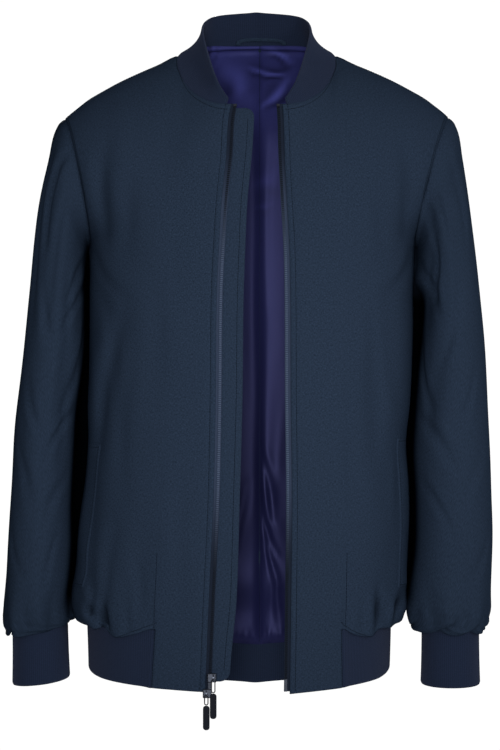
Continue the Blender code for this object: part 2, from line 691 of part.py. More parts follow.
def sleeve_point(side, ring, phi):
    point = ring_point(side, ring, phi)
    if 0 < ring < SLEEVE_LAST:
        middle = (ring_point(side, ring, 0) + ring_point(side, ring, math.pi)) / 2
        turn = math.degrees(phi) % 360
        push = sleeve_push(side, point.z, turn, ring)
        inner = clamp((turn - INNER_FROM) / INNER_EASE) * clamp((INNER_TO - turn) / INNER_EASE)
        out = (point - middle).normalized()
        point = point + out * (push if push < 0 else push * (1 - inner))
    return point


def make_sleeve(side, name):
    angles = [2 * math.pi * k / SLEEVE_COLUMNS for k in range(SLEEVE_COLUMNS)]
    grid = [[sleeve_point(side, ring, phi) for phi in angles] for ring in range(SLEEVE_LAST + 1)]
    grid[0] = [pull_seam(p, q, SLEEVE_SEAM) for p, q in zip(grid[0], grid[1])]
    sheet(name, grid, "wool", CLOTH, closed=True, flip=side == RIGHT)


def cuff_point(side, low, phi):
    top = ring_point(side, SLEEVE_LAST, phi)
    outer, inner = CUFF_BOTTOM[side]
    share = (1 + math.cos(phi)) / 2
    bottom_z = mix(inner, outer, share) - CUFF_FRONT_DROP * max(0.0, math.sin(phi))
    return Vector((top.x, top.y, mix(top.z - BACK_SEAM, bottom_z, low)))


def make_cuff(side, name):
    angles = [2 * math.pi * k / SLEEVE_COLUMNS for k in range(SLEEVE_COLUMNS)]
    grid = [[cuff_point(side, low, phi) for phi in angles] for low in BAND_ROWS]
    sheet(name, grid, "rib", RIB, closed=True, flip=side == RIGHT)


def hem_path():
    """Face, side and share of each column of the hem rib, the same as the columns of the panels above it."""
    path = []
    for side in (RIGHT, LEFT):
        start = rib_end_share(side)
        shares = front_shares(side)[FRONT_COLUMNS[0]:]
        pasts = [(h - shares[0]) / (1 - shares[0]) for h in shares]
        run = [(FRONT, side, mix(start, 1, past)) for past in pasts]
        run += [(BACK, side, abs(share)) for share in back_shares() if abs(share) < 1 and share * side > 0]
        path.append(run)
    right, left = path
    right_back = sorted((p for p in right if p[0] == BACK), key=lambda p: -p[2])
    left_back = sorted((p for p in left if p[0] == BACK), key=lambda p: p[2])
    front = [p for p in right if p[0] == FRONT]
    return front + right_back + [(BACK, LEFT, 0.0)] + left_back + [p for p in left if p[0] == FRONT][::-1]


def make_hem_rib(name):
    """The band from one front round the back to the other."""
    path = hem_path()
    grid = [[hem_point(face, side, share, low) for face, side, share in path] for low in BAND_ROWS[::-1]]
    for row in grid:
        for j, side in ((0, RIGHT), (-1, LEFT)):
            beside = front_low(side, block_share(side, RIB_END[side], row[j].z), row[j].z)
            row[j] = Vector((beside.x + side * RIB_SEAM, beside.y, row[j].z))
    sheet(name, grid, "rib", RIB, flip=True)


def collar_point(side, turn, rise):
    """The collar from the neck seam up to its free edge, flared at the seam."""
    base = neck_point(side, turn)
    top = neck_point(side, turn, "top_x top_y top_z")
    height = top.z - base.z
    across, deep, up = COLLAR_KNEE
    knee = Vector((mix(base.x, top.x, across), mix(base.y, top.y, deep), base.z + up * height))
    return base.lerp(knee, rise).lerp(knee.lerp(top, rise), rise)


def make_collar(name):
    """The stand collar; its columns stand on the columns of the panels below it."""
    near = FRONT_COLUMNS[0]
    front = [NECK_POINT * k / near for k in range(near + 1)]
    half = back_half()
    back = [mix(NECK_POINT, 1, 1 - share / half[NECK_COLUMN - 1]) for share in half[:NECK_COLUMN - 1]]
    turns = [COLLAR_START] + front[1:] + sorted(back)
    path = [(RIGHT, turn) for turn in turns] + [(LEFT, 1.0)] + [(LEFT, turn) for turn in reversed(turns)]
    grid = [[collar_point(side, turn, rise) for side, turn in path] for rise in COLLAR_ROWS]
    for j in (0, -1):
        side = path[j][0]
        grid[0][j] = neck_point(side, 0).lerp(neck_point(side, front[1]), COLLAR_START / front[1])
    grid[0] = [pull_seam(base, above, RIB_SEAM) for base, above in zip(grid[0], grid[1])]
    sheet(name, grid, "rib", RIB, flip=True)


def grid_normal(grid, i, j):
    """Direction across a grid at one of its points; the same hand as the grid's rows and columns."""
    up = grid[min(i + 1, len(grid) - 1)][j] - grid[max(i - 1, 0)][j]
    across = grid[i][min(j + 1, len(grid[0]) - 1)] - grid[i][max(j - 1, 0)]
    return across.cross(up).normalized()


def moved(grid, distance):
    """A grid moved along its own normals."""
    return [[grid[i][j] + grid_normal(grid, i, j) * distance for j in range(len(grid[0]))]
            for i in range(len(grid))]


def row_at(grid, z, column):
    """A point of one column of a grid at a height."""
    for below, above in zip(grid, grid[1:]):
        if below[column].z <= z <= above[column].z:
            t = (z - below[column].z) / (above[column].z - below[column].z)
            return below[column].lerp(above[column], t)
    return grid[0][column] if z < grid[0][column].z else grid[-1][column]


def edge_heights(grid, low, high):
    """Heights of a front edge's rows between two limits, with the limits."""
    heights = [row[0].z for row in grid]
    return [low] + [z for z in heights if low + SHORTEST_CELL < z < high - SHORTEST_CELL] + [high]


def beside_edge(grid, side, z, out, back):
    """A point beside a front's edge: out is towards the side seam, back is into the jacket."""
    edge, inner = row_at(grid, z, 0), row_at(grid, z, 1)
    return edge + (inner - edge).normalized() * out + Vector((0, back, 0)) if out > 0 else \
        edge + Vector((-side * -out, back, 0))


def edge_strip(name, grid, side, low, high, outs, backs, slot, wall):
    """A strip along a front's edge, from outs[0] to outs[1] across it."""
    heights = edge_heights(grid, low, high)
    rows = [[beside_edge(grid, side, z, outs[k], backs[k]) for k in (0, 1)] for z in heights]
    sheet(name, rows, slot, wall, flip=side == LEFT)


def make_zip(side, word, grid):
    """Tape behind the edge, the chain on its free edge, and the stops."""
    edge_strip(f"zip_tape_{word}", grid, side, ZIP_LOW, ZIP_HIGH, (TAPE_SEWN, -TAPE_FREE),
               (TAPE_BACK + SEAM, TAPE_BACK), "tape", TAPE)
    half = CHAIN_WIDE / 2
    low, high = ZIP_LOW + CHAIN_SHORT, ZIP_HIGH - STOP_HIGH - 2 * SEAM
    chain = (-(EDGE_TO_CHAIN - half), -(EDGE_TO_CHAIN + half))
    clamped = (chain[0], chain[1] - STOP_WIDER)
    proud = CHAIN_BACK - STOP_PROUD
    edge_strip(f"zip_chain_{word}", grid, side, low, high, chain, (CHAIN_BACK, CHAIN_BACK), "coil",
               CHAIN_DEEP)
    edge_strip(f"zip_top_stop_{word}", grid, side, high + SEAM, ZIP_HIGH, clamped, (proud, proud), "metal",
               CHAIN_DEEP + STOP_PROUD)
    end, wall = ("zip_pin", STOP_PROUD) if side == LEFT else ("zip_box", 0.0)
    edge_strip(end, grid, side, ZIP_LOW, low - SEAM, clamped, (CHAIN_BACK - wall, CHAIN_BACK - wall), "metal",
               CHAIN_DEEP + wall)


def make_guard(name, grid):
    """The cloth guard behind the zip of the wearer's right front, with rounded corners."""
    rows = []
    for z, short in GUARD_ENDS:
        edge = row_at(grid, z, 0)
        free = ZIP.at(z, "guard") - short
        back = edge.y + GUARD_BACK
        start = beside_edge(grid, RIGHT, z, GUARD_SEWN, GUARD_BACK)
        across = [start, Vector((edge.x, back, z))]
        across += [Vector((mix(edge.x, free, k), back + GUARD_LEAN * k, z)) for k in GUARD_COLUMNS]
        rows.append(across)
    sheet(name, rows, "wool", CLOTH, flip=False)


def make_welt(side, name, grid):
    """A pocket welt, on the front's own points near the side seam."""
    columns = WELT_COLUMNS
    first = 2 + len(ROLL)
    picked = [grid[first + BODY_ROWS.index(z)] for z in WELT_ROWS]
    low, lowest = picked[0], grid[first]
    rows = [[lowest[c].lerp(low[c], WELT_FOOT) for c in columns]]
    rows += [[row[c] for c in columns] for row in picked]
    out = side * (2 * SEAM + WELT_WALL)
    sheet(name, moved(rows, out), "wool", WELT_WALL, flip=side == RIGHT)


def lining_grid(side):
    """Half of the back lining: inside the back, from the neck down to a roll over the hem rib."""
    picked = [(j, s) for j, s in enumerate(back_shares()) if s * side >= 0 and abs(s) < LINING_REACH]
    first, chest = len(ROLL) + 1, len(ROLL) + len(BODY_ROWS)
    steps = list(range(first, chest - 1, 2)) + list(range(chest - 1, PANEL_ROWS - 1))
    grid = back_grid()
    inner = moved([[grid[v][j] for j, s in picked] for v in steps], CLOTH + LINING_GAP)
    ribs = [hem_point(BACK, side, abs(s), 0) for j, s in picked]
    roll = [[Vector((rib.x * LINING_NARROW, rib.y - RIB - off, rib.z + up)) for rib in ribs]
            for up, off in LINING_ROLL]
    return roll + inner


def make_lining(side, name):
    grid = lining_grid(side)
    centre = 0 if side == LEFT else -1
    for row in grid:
        row[centre].x = PLEAT_SHIFT + side * SEAM / 2
    sheet(name, grid, "satin", LINING, flip=True)


def make_loop(name):
    """The flat hanger loop, stitched down at both ends against the inside of the collar."""
    inner, outer = [], []
    for k in range(LOOP_STEPS + 1):
        t = math.pi * k / LOOP_STEPS
        across = math.copysign(abs(math.cos(t)) ** LOOP_SQUARE, -math.cos(t))
        high = math.sin(t) ** LOOP_SQUARE
        for line, less in ((outer, 0), (inner, LOOP_WIDE)):
            x = LOOP_X + across * (LOOP_HALF - less)
            side = RIGHT if x < 0 else LEFT
            rise = (LOOP_FOOT + high * (LOOP_TOP - less)) / NECK.at(1, "top_z")
            wall = collar_point(side, 1 - abs(x) * TURN_BY_X, rise)
            line.append(Vector((x, wall.y - RIB - LOOP_GAP, wall.z)))
    sheet(name, [inner, outer], "wool", LOOP_WALL, flip=False)


def box(name, centre, size, slot):
    """A block with rounded edges."""
    mesh = bpy.data.meshes.new(name)
    shape = bmesh.new()
    bmesh.ops.create_cube(shape, size=1.0)
    bmesh.ops.scale(shape, vec=Vector(size) * MM, verts=shape.verts)
    shape.to_mesh(mesh)
    shape.free()
    made = bpy.data.objects.new(name, mesh)
    made.location = Vector(centre) * MM
    PART.objects.link(made)
    mesh.materials.append(material(name, *COLOURS[slot]))
    soft = made.modifiers.new("Round", "BEVEL")
    soft.width = BLOCK_ROUND * MM
    soft.segments = BLOCK_SEGMENTS
    return made


def flat_plate(name, outline, wall, slot, home):
    """A flat outline with a wall half to each side of it."""
    mesh = bpy.data.meshes.new(name)
    mesh.from_pydata([Vector(p) * MM for p in outline], [], [list(range(len(outline)))])
    made = bpy.data.objects.new(name, mesh)
    home.objects.link(made)
    mesh.materials.append(material(name, *COLOURS[slot]))
    wall_of = made.modifiers.new("Wall", "SOLIDIFY")
    wall_of.thickness = wall * MM
    wall_of.offset = 0.0
    return made


def make_slider(word, x, z, pull_x, front_y):
    """A slider lying over the chain, with the bail that its pull hangs from."""
    made = box(f"slider_{word}", (x, front_y + SLIDER_DEEP / 2, z), (SLIDER_WIDE, SLIDER_DEEP, SLIDER_HIGH),
               "metal")
    arch = []
    for half, deep in ((BAIL_HALF + BAIL_WIRE, BAIL_RISE + BAIL_WIRE), (BAIL_HALF, BAIL_RISE)):
        turn = [math.pi * k / BAIL_STEPS for k in range(BAIL_STEPS + 1)]
        line = [(half * math.cos(a), deep * abs(math.sin(a)) ** BAIL_POWER) for a in turn]
        arch.append(line if not arch else line[::-1])
    outer, inner = arch
    run = []
    for line in (outer, inner):
        run += [(line[0][0], -BAIL_ROOT)] + line + [(line[-1][0], -BAIL_ROOT)]
    outline = [(pull_x, front_y - out, z + up) for up, out in run]
    bail = flat_plate(f"bail_{word}", outline, BAIL_WIRE, "metal", GUIDES)
    bail.hide_render = True
    bail.display_type = "WIRE"
    join = made.modifiers.new("Bail", "BOOLEAN")
    join.operation = "UNION"
    join.object = bail
    return made


def make_pull(word, x, y, z, link_long, tab_long):
    """A link on the slider's bail and a flat tab with round ends, both hanging straight down."""
    curve = bpy.data.curves.new(f"pull_{word}_link", "CURVE")
    curve.dimensions = "3D"
    curve.bevel_depth = LINK_WIRE * MM
    curve.bevel_resolution = LINK_SIDES
    line = curve.splines.new("POLY")
    run = []
    for turn, height in ((0, 0.0), (1, -link_long)):
        for k in range(LINK_STEPS + 1):
            a = math.pi * (turn + k / LINK_STEPS)
            lift = -LINK_HALF if turn == 0 else LINK_HALF
            run.append((LINK_HALF * math.cos(a), height + lift + LINK_HALF * math.sin(a)))
    line.points.add(len(run) - 1)
    for point, (across, up) in zip(line.points, run):
        point.co = (across * MM, 0, up * MM, 1)
    line.use_cyclic_u = True
    link = bpy.data.objects.new(f"pull_{word}_link", curve)
    link.location = Vector((x, y, z)) * MM
    PART.objects.link(link)
    curve.materials.append(material(f"pull_{word}_link", *COLOURS["metal"]))
    top = z - link_long - LINK_WIRE - SEAM
    half = TAB_WIDE / 2
    outline = []
    for turn, middle in ((0, top - TAB_ROUND), (1, top - tab_long + TAB_ROUND)):
        for corner in (0, 1):
            for k in range(TAB_STEPS + 1):
                a = math.pi / 2 * (corner + k / TAB_STEPS) + math.pi * turn
                cx = (half - TAB_ROUND) * (1 if (turn + corner) % 2 == 0 else -1)
                outline.append((x + cx + TAB_ROUND * math.cos(a), y, middle + TAB_ROUND * math.sin(a)))
    flat_plate(f"pull_{word}_tab", outline, TAB_WALL, "tab", PART)


def wipe():
    for old in list(bpy.data.objects):
        bpy.data.objects.remove(old, do_unlink=True)


wipe()
PART = bpy.data.collections.new("bomber_jacket")
GUIDES = bpy.data.collections.new("guides")
for home in (PART, GUIDES):
    bpy.context.scene.collection.children.link(home)
FRONTS = {}
for side, word in SIDES:
    FRONTS[side] = make_front(side, f"front_{word}")
    make_sleeve(side, f"sleeve_{word}")
    make_cuff(side, f"cuff_{word}")
    make_zip(side, word, FRONTS[side])
    make_welt(side, f"welt_{word}", FRONTS[side])
    make_lining(side, f"lining_{word}")
make_back("back")
make_hem_rib("hem_rib")
make_collar("collar")
make_guard("zip_guard", FRONTS[RIGHT])
make_loop("hanger_loop")
for word, slider_x, slider_z, pull_x, link_long, tab_long in SLIDERS:
    face = row_at(FRONTS[RIGHT], slider_z, 0).y - SEAM - SLIDER_DEEP
    make_slider(word, slider_x, slider_z, pull_x, face)
    make_pull(word, pull_x, face - PIN_OUT, slider_z - PIN_DROP, link_long, tab_long)
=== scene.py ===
"""How the bomber jacket looks: cloth, knit rib, satin, sewing, zip, light and camera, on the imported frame.

Frame: metres, +Z up, the front faces -Y, and the wearer's right is at -X. The origin is the middle of the
neck opening. The sizes below are in millimetres; MM turns them into metres when a mesh is made.
The tables and the surface functions are the model's own, so each cloth lies on the form of its solid.
"""

import copy
import math

import bpy
import numpy as np
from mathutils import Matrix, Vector


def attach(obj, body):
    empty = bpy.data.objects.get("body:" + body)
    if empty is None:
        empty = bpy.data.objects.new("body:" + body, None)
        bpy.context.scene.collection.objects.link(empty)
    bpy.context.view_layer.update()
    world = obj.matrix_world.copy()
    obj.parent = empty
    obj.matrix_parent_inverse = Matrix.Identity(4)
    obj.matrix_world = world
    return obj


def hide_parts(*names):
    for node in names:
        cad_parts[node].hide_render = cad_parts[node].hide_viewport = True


MM = 0.001

RIGHT, LEFT = -1, 1   # the wearer's right is at -X
FRONT, BACK = -1, 1   # the front faces -Y

CLOTH = 2.0           # outer cloth, with its seam allowances
RIB = 3.0             # doubled knit rib
LINING = 1.0          # satin
TAPE = 1.0            # woven zip tape
SEAM = 0.3            # gap between two sewn pieces
SIDE_Y = 5.0          # the side seams and shoulder seams lie at this depth
SQUARE = 2.35         # power of the body's rounded section: 2 is an ellipse
CHEST_Z = -237.0      # height of the underarm points
CREST = {FRONT: 112.0, BACK: 122.0}    # the panels round over to the shoulders within this height

RIB_END = {RIGHT: 0.378, LEFT: 0.435}    # share of a front, from its edge, at which the hem rib begins
BLOCK_FLARE = 0.08    # how much wider a front's block is at the bottom of the rib
FRONT_COLUMNS = (6, 8)      # columns before and after the end of the rib
BACK_COLUMNS = 30
BACK_LEVEL = 5        # the back's rows run level from this one up
NECK_COLUMN = 5        # column of each half of the back that runs up to the neck point
SLEEVE_COLUMNS = 28
UPPER_STEPS = (0.86, 0.71, 0.57, 0.43, 0.29, 0.15, 0.05, 0.0)   # rows from the chest line up to the top edge
UPPER_EASE = 1.7      # how the rows gather towards the top edge, at the front's edge and the back's middle
LOW_EASE = 6          # power with which the chest line's own depth dies out above it
COLUMN_EASE = 1.2     # how the columns turn from upright at the edge to the armhole's curve
CREST_LIMIT = 0.995   # a top edge counts as at most this share of the full depth
SEWN_EDGE = 0.995     # the folds stop at this share of the way out to the armhole
RELAX_TIMES, RELAX_REACH, RELAX_SHARE = 4, 3.0, 0.5    # evening out below the neck points


class Table:
    """Rows of named columns, read with a smooth curve through them along the first column."""

    def __init__(self, names, rows):
        self.names = names.split()
        self.rows = sorted(rows)
        self.keys = [row[0] for row in self.rows]

    def slope(self, i, c):
        a, b = max(i - 1, 0), min(i + 1, len(self.rows) - 1)
        return (self.rows[b][c] - self.rows[a][c]) / (self.keys[b] - self.keys[a])

    def at(self, key, name):
        c = self.names.index(name)
        if key <= self.keys[0]:
            return self.rows[0][c]
        if key >= self.keys[-1]:
            return self.rows[-1][c]
        i = next(k for k in range(len(self.keys) - 1) if self.keys[k + 1] >= key)
        span = self.keys[i + 1] - self.keys[i]
        t = (key - self.keys[i]) / span
        near, far = self.rows[i][c], self.rows[i + 1][c]
        rise = (2 * t ** 3 - 3 * t ** 2 + 1) * near + (3 * t ** 2 - 2 * t ** 3) * far
        lean = (t ** 3 - 2 * t ** 2 + t) * self.slope(i, c) + (t ** 3 - t ** 2) * self.slope(i + 1, c)
        return rise + span * lean


# Half widths to each side, and how far the front and back stand from the side seams, by height.
BODY = Table("z right left front back", [
    (0, 240, 240, 100, 85),
    (-50, 240, 239, 105, 95),
    (-92, 238, 236, 110, 106),
    (-130, 232, 229, 118, 111),
    (-165, 221, 217, 123, 114),
    (-200, 207, 201, 127, 116),
    (-237, 193, 184, 130, 118),
    (-278, 193, 182, 131, 119),
    (-360, 193.5, 181.5, 132, 119),
    (-417, 194, 177.5, 132, 119),
    (-450, 194, 174, 132, 119),
    (-475, 195, 173, 132, 119),
    (-520, 199, 177, 132, 119),
    (-567, 206, 177, 132, 119),
    (-607, 209, 175, 131, 118),
    (-637, 214, 174, 131, 118),
    (-655, 213.5, 173, 130.5, 117.5),
    (-672, 209, 168, 130, 117),
    (-745, 206, 162, 128, 115),
])

# The ridge of the shoulders, from the centre outwards. Inside the neck points it only guides the surface.
RIDGE = Table("x z", [
    (0, 12), (50, 4), (91, -19), (115, -29.5), (145, -43), (172, -57), (196, -71), (211, -83), (223, -92.5),
    (245, -115),
])

# The neck seam and the free top edge of the collar, from the zip round to the back of the neck.
NECK = Table("turn x y z top_x top_y top_z", [
    (0.00, 28.9, -101.5, -85, 29.5, -101, -82),
    (0.05, 37.5, -100, -84.5, 34.5, -99, -76),
    (0.17, 57.0, -91, -79, 47.5, -87, -54),
    (0.34, 78.5, -65, -61.5, 57.0, -54, -24),
    (0.50, 90.0, -30, -37, 62.5, -22, -1),
    (0.62, 91.0, 3, -19, 64.0, 10, 14),
    (0.75, 79.0, 34, -8, 60.0, 35, 26),
    (0.87, 50.0, 56, -2, 45.0, 52, 34),
    (1.00, 0.0, 65, 0, 0.0, 60, 39),
])
NECK_POINT = 0.62
COLLAR_START = 0.035    # the collar begins beside the top stop of the zip
COLLAR_KNEE = (0.95, 0.8, 0.34)    # where the collar turns upright: shares of its way in, depth and height

# Where the folded front edges hang, and the free edge of the zip guard, by height.
ZIP = Table("z right left guard", [
    (-85, -28.9, 28.9, -2),
    (-106, -32.1, 30.1, -3),
    (-139, -33.6, 30.8, -5),
    (-195, -39.1, 33.5, -10.3),
    (-250, -42.4, 36.6, -12.7),
    (-305, -44.8, 37.6, -14.6),
    (-416, -45.9, 38.1, -15.8),
    (-527, -48.2, 39.3, -18.8),
    (-637, -53.3, 38.2, -22.3),
    (-692, -55.6, 37.6, -27.5),
    (-742, -57.6, 36.9, -31.5),
])

# The hem rib, by angle round the body: 0 at the front, 90 at the side seams, 180 at the back.
HEM = Table("turn top bottom blouse", [
    (0, -671, -738, 0),
    (30, -671, -738, 0),
    (45, -670, -735, 0.75),
    (65, -667, -731, 1),
    (90, -664, -725, 1),
    (120, -672, -734, 0.9),
    (150, -686, -748, 0.8),
    (180, -694, -756, 0.8),
])
HEM_HALF = {RIGHT: (196, 194.5), LEFT: (155.5, 154)}     # half width at the top and bottom edge
HEM_DEEP = {FRONT: (131.5, 130), BACK: (107, 105.5)}

BLOCK_BOTTOM = {RIGHT: -740.0, LEFT: -742.0}    # the blocks' lowest edge, at the zip
BLOCK_BOTTOM_OUT = -737.0                       # and beside the rib

# Steps of the body's roll over the hem rib: share of the way out to the body, height over the rib's top
# where nothing hangs over and with the full overhang, and how far the overhang stands off the rib.
ROLL = ((0.0, 0.3, 0.3, 0.0), (0.2, 2.0, -4.0, 3.4), (0.7, 6.0, -5.0, 6.0), (0.97, 13.0, 5.0, 7.5))
BODY_ROWS = (-640, -612, -580, -545, -505, -465, -425, -380, -335, -290, CHEST_Z)

# Rings of each sleeve from the armhole to the cuff: its outer and inner edge, its middle and its depth.
# bow hollows the armhole's edge, and nest is how far the sleeve's back lies in behind the body's side.
SLEEVE_NAMES = "ring out_x out_z in_x in_z mid_y deep bow nest"
SLEEVE = {
    RIGHT: Table(SLEEVE_NAMES, [
        (0, 222.6, -92.6, 193, -237, 8, 76, 8, 0),
        (1, 228.5, -97.7, 196.4, -239.5, 8, 77, 7, 0),
        (2, 233.5, -107, 197.6, -245, 8, 78, 5, 1),
        (3, 241.0, -139, 197.6, -260, 7, 79, 3, 5),
        (4, 248.5, -180, 197, -285, 6, 79, 1, 7),
        (5, 255.5, -230, 196.4, -318, 5, 78, 0, 8),
        (6, 261.5, -285, 197, -354, 4, 76, 0, 9),
        (7, 267.5, -343, 200.5, -392, 3, 74, 0, 13),
        (8, 273.0, -402, 206, -432, 1, 72, 0, 18),
        (9, 278.5, -457, 208, -474, -2, 70, 0, 19.5),
        (10, 282.0, -515, 210, -524, -5, 67, 0, 17),
        (11, 284.5, -568, 212, -571, -8, 65, 0, 10.5),
        (12, 287.0, -612, 214.5, -612, -10, 62, 0, 8),
        (13, 289.0, -642, 218.5, -640, -11, 60, 0, 4),
        (14, 289.5, -658, 220, -655, -11, 57, 0, 1),
        (15, 287.0, -671, 218.6, -664, -11, 50, 0, 0),
        (16, 285.0, -679, 217.6, -668.4, -11, 42, 0, 0),
        (17, 280.8, -677.5, 217, -672.0, -11, 35, 0, 0),
    ]),
    LEFT: Table(SLEEVE_NAMES, [
        (0, 222.9, -90.8, 184, -237, 8, 76, 8, 0),
        (1, 228.5, -96.0, 187.4, -239.5, 8, 77, 7, 0),
        (2, 232.5, -105, 188.2, -245, 8, 78, 5, 3),
        (3, 238.0, -137, 189, -260, 7, 79, 3, 8),
        (4, 244.5, -177, 191.5, -286, 6, 79, 1, 13),
        (5, 250.5, -227, 191, -318, 5, 78, 0, 14),
        (6, 257.0, -282, 188, -354, 4, 76, 0, 12),
        (7, 262.5, -341, 184, -392, 3, 74, 0, 10),
        (8, 266.5, -401, 180.5, -432, 1, 72, 0, 9),
        (9, 268.5, -457, 177.8, -474, -2, 70, 0, 9),
        (10, 270.5, -515, 180, -524, -5, 67, 0, 8.5),
        (11, 271.5, -568, 180, -571, -8, 65, 0, 8.5),
        (12, 270.5, -612, 179, -612, -10, 62, 0, 7.5),
        (13, 269.5, -642, 180.8, -640, -11, 60, 0, 3),
        (14, 269.5, -658, 183, -655, -11, 57, 0, 0),
        (15, 267.5, -671, 187.6, -665, -11, 50, 0, 0),
        (16, 262.0, -678, 189.4, -670, -11, 42, 0, 0),
        (17, 256.0, -677.0, 190, -674, -11, 35, 0, 0),
    ]),
}
SLEEVE_LAST = 17
RING_ANGLES = [2 * math.pi * k / SLEEVE_COLUMNS for k in range(SLEEVE_COLUMNS)]
RING_POWER = 0.95     # below 1 squares the sleeve's section a little
NEST_PEAK = 4 / 27    # the largest value of the nest's shape round the ring
CUFF_BOTTOM = {RIGHT: (-739, -731), LEFT: (-742, -742)}    # heights of the outer and inner edge
CUFF_FRONT_DROP = 2.5
FOLD_REST, FOLD_ENDS = 0.35, (0.08, 0.92)    # share of a fold's depth at its ends, and where they lie
SLEEVE_FADE = 18.0    # how far a sleeve's fold runs out past its ends
INNER_FROM, INNER_TO, INNER_EASE = 140, 220, 20    # degrees between which no fold stands out to the body
CUFF_SEAM, RIB_SEAM = 2.5 * SEAM, 3 * SEAM    # wider gaps: over a cuff, and at the ends of the hem rib
FRONT_TURN, BACK_TURN = 0.75, 0.6    # how much closer together the columns are towards the side
BAND_ROWS = (0, 0.5, 1)    # rows of the cuffs and the hem rib

# The zip: its tape lies behind the front's edge, with the chain on the tape's free edge.
ZIP_HIGH, ZIP_LOW = -85.0, -739.0
EDGE_TO_CHAIN = 4.8
CHAIN_WIDE, CHAIN_DEEP, CHAIN_BACK, CHAIN_SHORT = 2.8, 1.6, 0.4, 14.0
STOP_HIGH = 3.0
TAPE_FREE, TAPE_BACK, TAPE_SEWN = 6.9, 2.4, 8.0    # how far it shows, lies back, and runs in under the front
GUARD_BACK, GUARD_LEAN, GUARD_SEWN = 4.7, 1.0, 9.0
WELT_WALL = 1.4
LINING_REACH, LINING_GAP, PLEAT_SHIFT, LINING_NARROW = 0.9, 2.5, 4.0, 0.97
LINING_ROLL = ((-17, 0.9), (-8, 3.5), (5, 2.5), (18, 0.5))    # height over the rib's top, and off its inside
LOOP_X, LOOP_HALF, LOOP_WIDE, LOOP_TOP, LOOP_FOOT, LOOP_GAP, LOOP_WALL = 5.5, 29.5, 5.0, 11.0, 0.5, 1.9, 1.2
LOOP_STEPS, LOOP_SQUARE = 40, 0.55
TURN_BY_X = 0.0026    # share of the neck's turn for each millimetre from the middle of the back

# Soft folds of the panels: from one point to another, half width and depth. Positive stands out.
FOLDS = {
    (RIGHT, FRONT): [
        (-176, -135, -174, -222, 11, -4.0),
        (-154, -325, -178, -470, 12, -3.5),
        (-172, -335, -191, -455, 9, 3.0),
        (-120, -560, -135, -650, 14, -2.0),
        (-176, -640, -173, -676, 6, -5.0),
        (-192, -635, -190, -676, 5, 3.0),
    ],
    (LEFT, FRONT): [
        (172, -130, 168, -215, 11, -4.0),
        (127, -330, 132, -470, 14, -3.0),
        (150, -480, 148, -640, 12, -2.0),
        (140, -625, 146, -672, 6, -4.0),
        (160, -635, 158, -672, 5, -3.0),
    ],
    (RIGHT, BACK): [
        (-150, -150, -165, -330, 14, -4.0),
        (-60, -260, -120, -560, 22, -3.0),
        (-175, -430, -150, -600, 12, 3.0),
    ],
    (LEFT, BACK): [
        (145, -150, 160, -320, 14, -4.0),
        (70, -300, 110, -600, 22, -3.0),
        (150, -420, 165, -590, 12, 3.0),
    ],
}
# Soft folds of the sleeves: height and angle of each end, half width in degrees, and depth.
REAR_FOLDS = [(-330, 240, -420, 285, 14, -4.0), (-440, 235, -500, 280, 12, -3.0)]
SLEEVE_FOLDS = {
    RIGHT: [
        (-190, 60, -330, 78, 12, -3.5),
        (-300, 112, -455, 128, 11, -4.0),
        (-470, 70, -560, 95, 12, 2.0),
    ] + REAR_FOLDS,
    LEFT: [
        (-150, 66, -300, 74, 12, -3.0),
        (-215, 112, -305, 138, 10, -4.5),
        (-340, 100, -430, 128, 12, -3.0),
    ] + REAR_FOLDS,
}
HEM_GATHERS = 12      # waves of the back over the hem rib
HEM_GATHER_DEEP = 2.2
CUFF_GATHERS = 7
CUFF_GATHER_DEEP = 3.4
CUFF_GATHER_RING = 15.0      # the gathers are deepest here and fade over this many rings above
CUFF_GATHER_RISE = 3.2
GATHER_RISE = 45.0    # the gathers fade over this height
GATHER_FADE = 1.5
SIDE_EASE, ROLL_EASE = 4.0, 6.0    # how fast the folds begin at the side seams, and the roll beside the block


def clamp(value, low=0.0, high=1.0):
    return max(low, min(high, value))


def mix(a, b, t):
    return a + (b - a) * t


def side_name(side):
    return "right" if side == RIGHT else "left"


def arc(share, half, deep):
    """How far a rounded section stands out at a share of its half width."""
    return deep * (1 - clamp(abs(share) / half) ** SQUARE) ** (1 / SQUARE)


def stand_out(face, side, x, z):
    """How far the full body surface stands from the side seams."""
    return arc(x, BODY.at(z, side_name(side)), BODY.at(z, "front" if face == FRONT else "back"))


def torso_y(face, side, x, z):
    """Depth of the plain body surface below the shoulders, without folds."""
    return SIDE_Y + face * stand_out(face, side, x, z)


def arched(drop):
    """Share of its full depth that a panel has reached at a drop below its crest, as a share of CREST."""
    return math.sqrt(1 - (1 - clamp(drop)) ** 2)


def fold_push(folds, x, z):
    """How far the folds move a point in or out."""
    push = 0.0
    for x0, z0, x1, z1, wide, deep in folds:
        along = clamp(((x - x0) * (x1 - x0) + (z - z0) * (z1 - z0)) / ((x1 - x0) ** 2 + (z1 - z0) ** 2))
        off = math.hypot(x - mix(x0, x1, along), z - mix(z0, z1, along)) / wide
        push += deep * math.exp(-off * off) * mix(FOLD_REST, 1, math.sin(math.pi * clamp(along, *FOLD_ENDS)))
    return push


def settle(face, side, x, y, z):
    """Move a point of the body along the section's outward direction by its folds."""
    half = BODY.at(z, side_name(side))
    deep = BODY.at(z, "front" if face == FRONT else "back")
    share_x = clamp(abs(x) / half)
    share_y = clamp(abs(y - SIDE_Y) / deep)
    out = Vector((math.copysign(share_x ** (SQUARE - 1) / half, x), face * share_y ** (SQUARE - 1) / deep, 0))
    push = fold_push(FOLDS[(side, face)], x, z) * clamp(share_y * SIDE_EASE)
    return Vector((x, y, z)) + out.normalized() * push


def front_edge_x(side, z):
    """The folded edge of a front, beside its zip."""
    return ZIP.at(z, side_name(side))


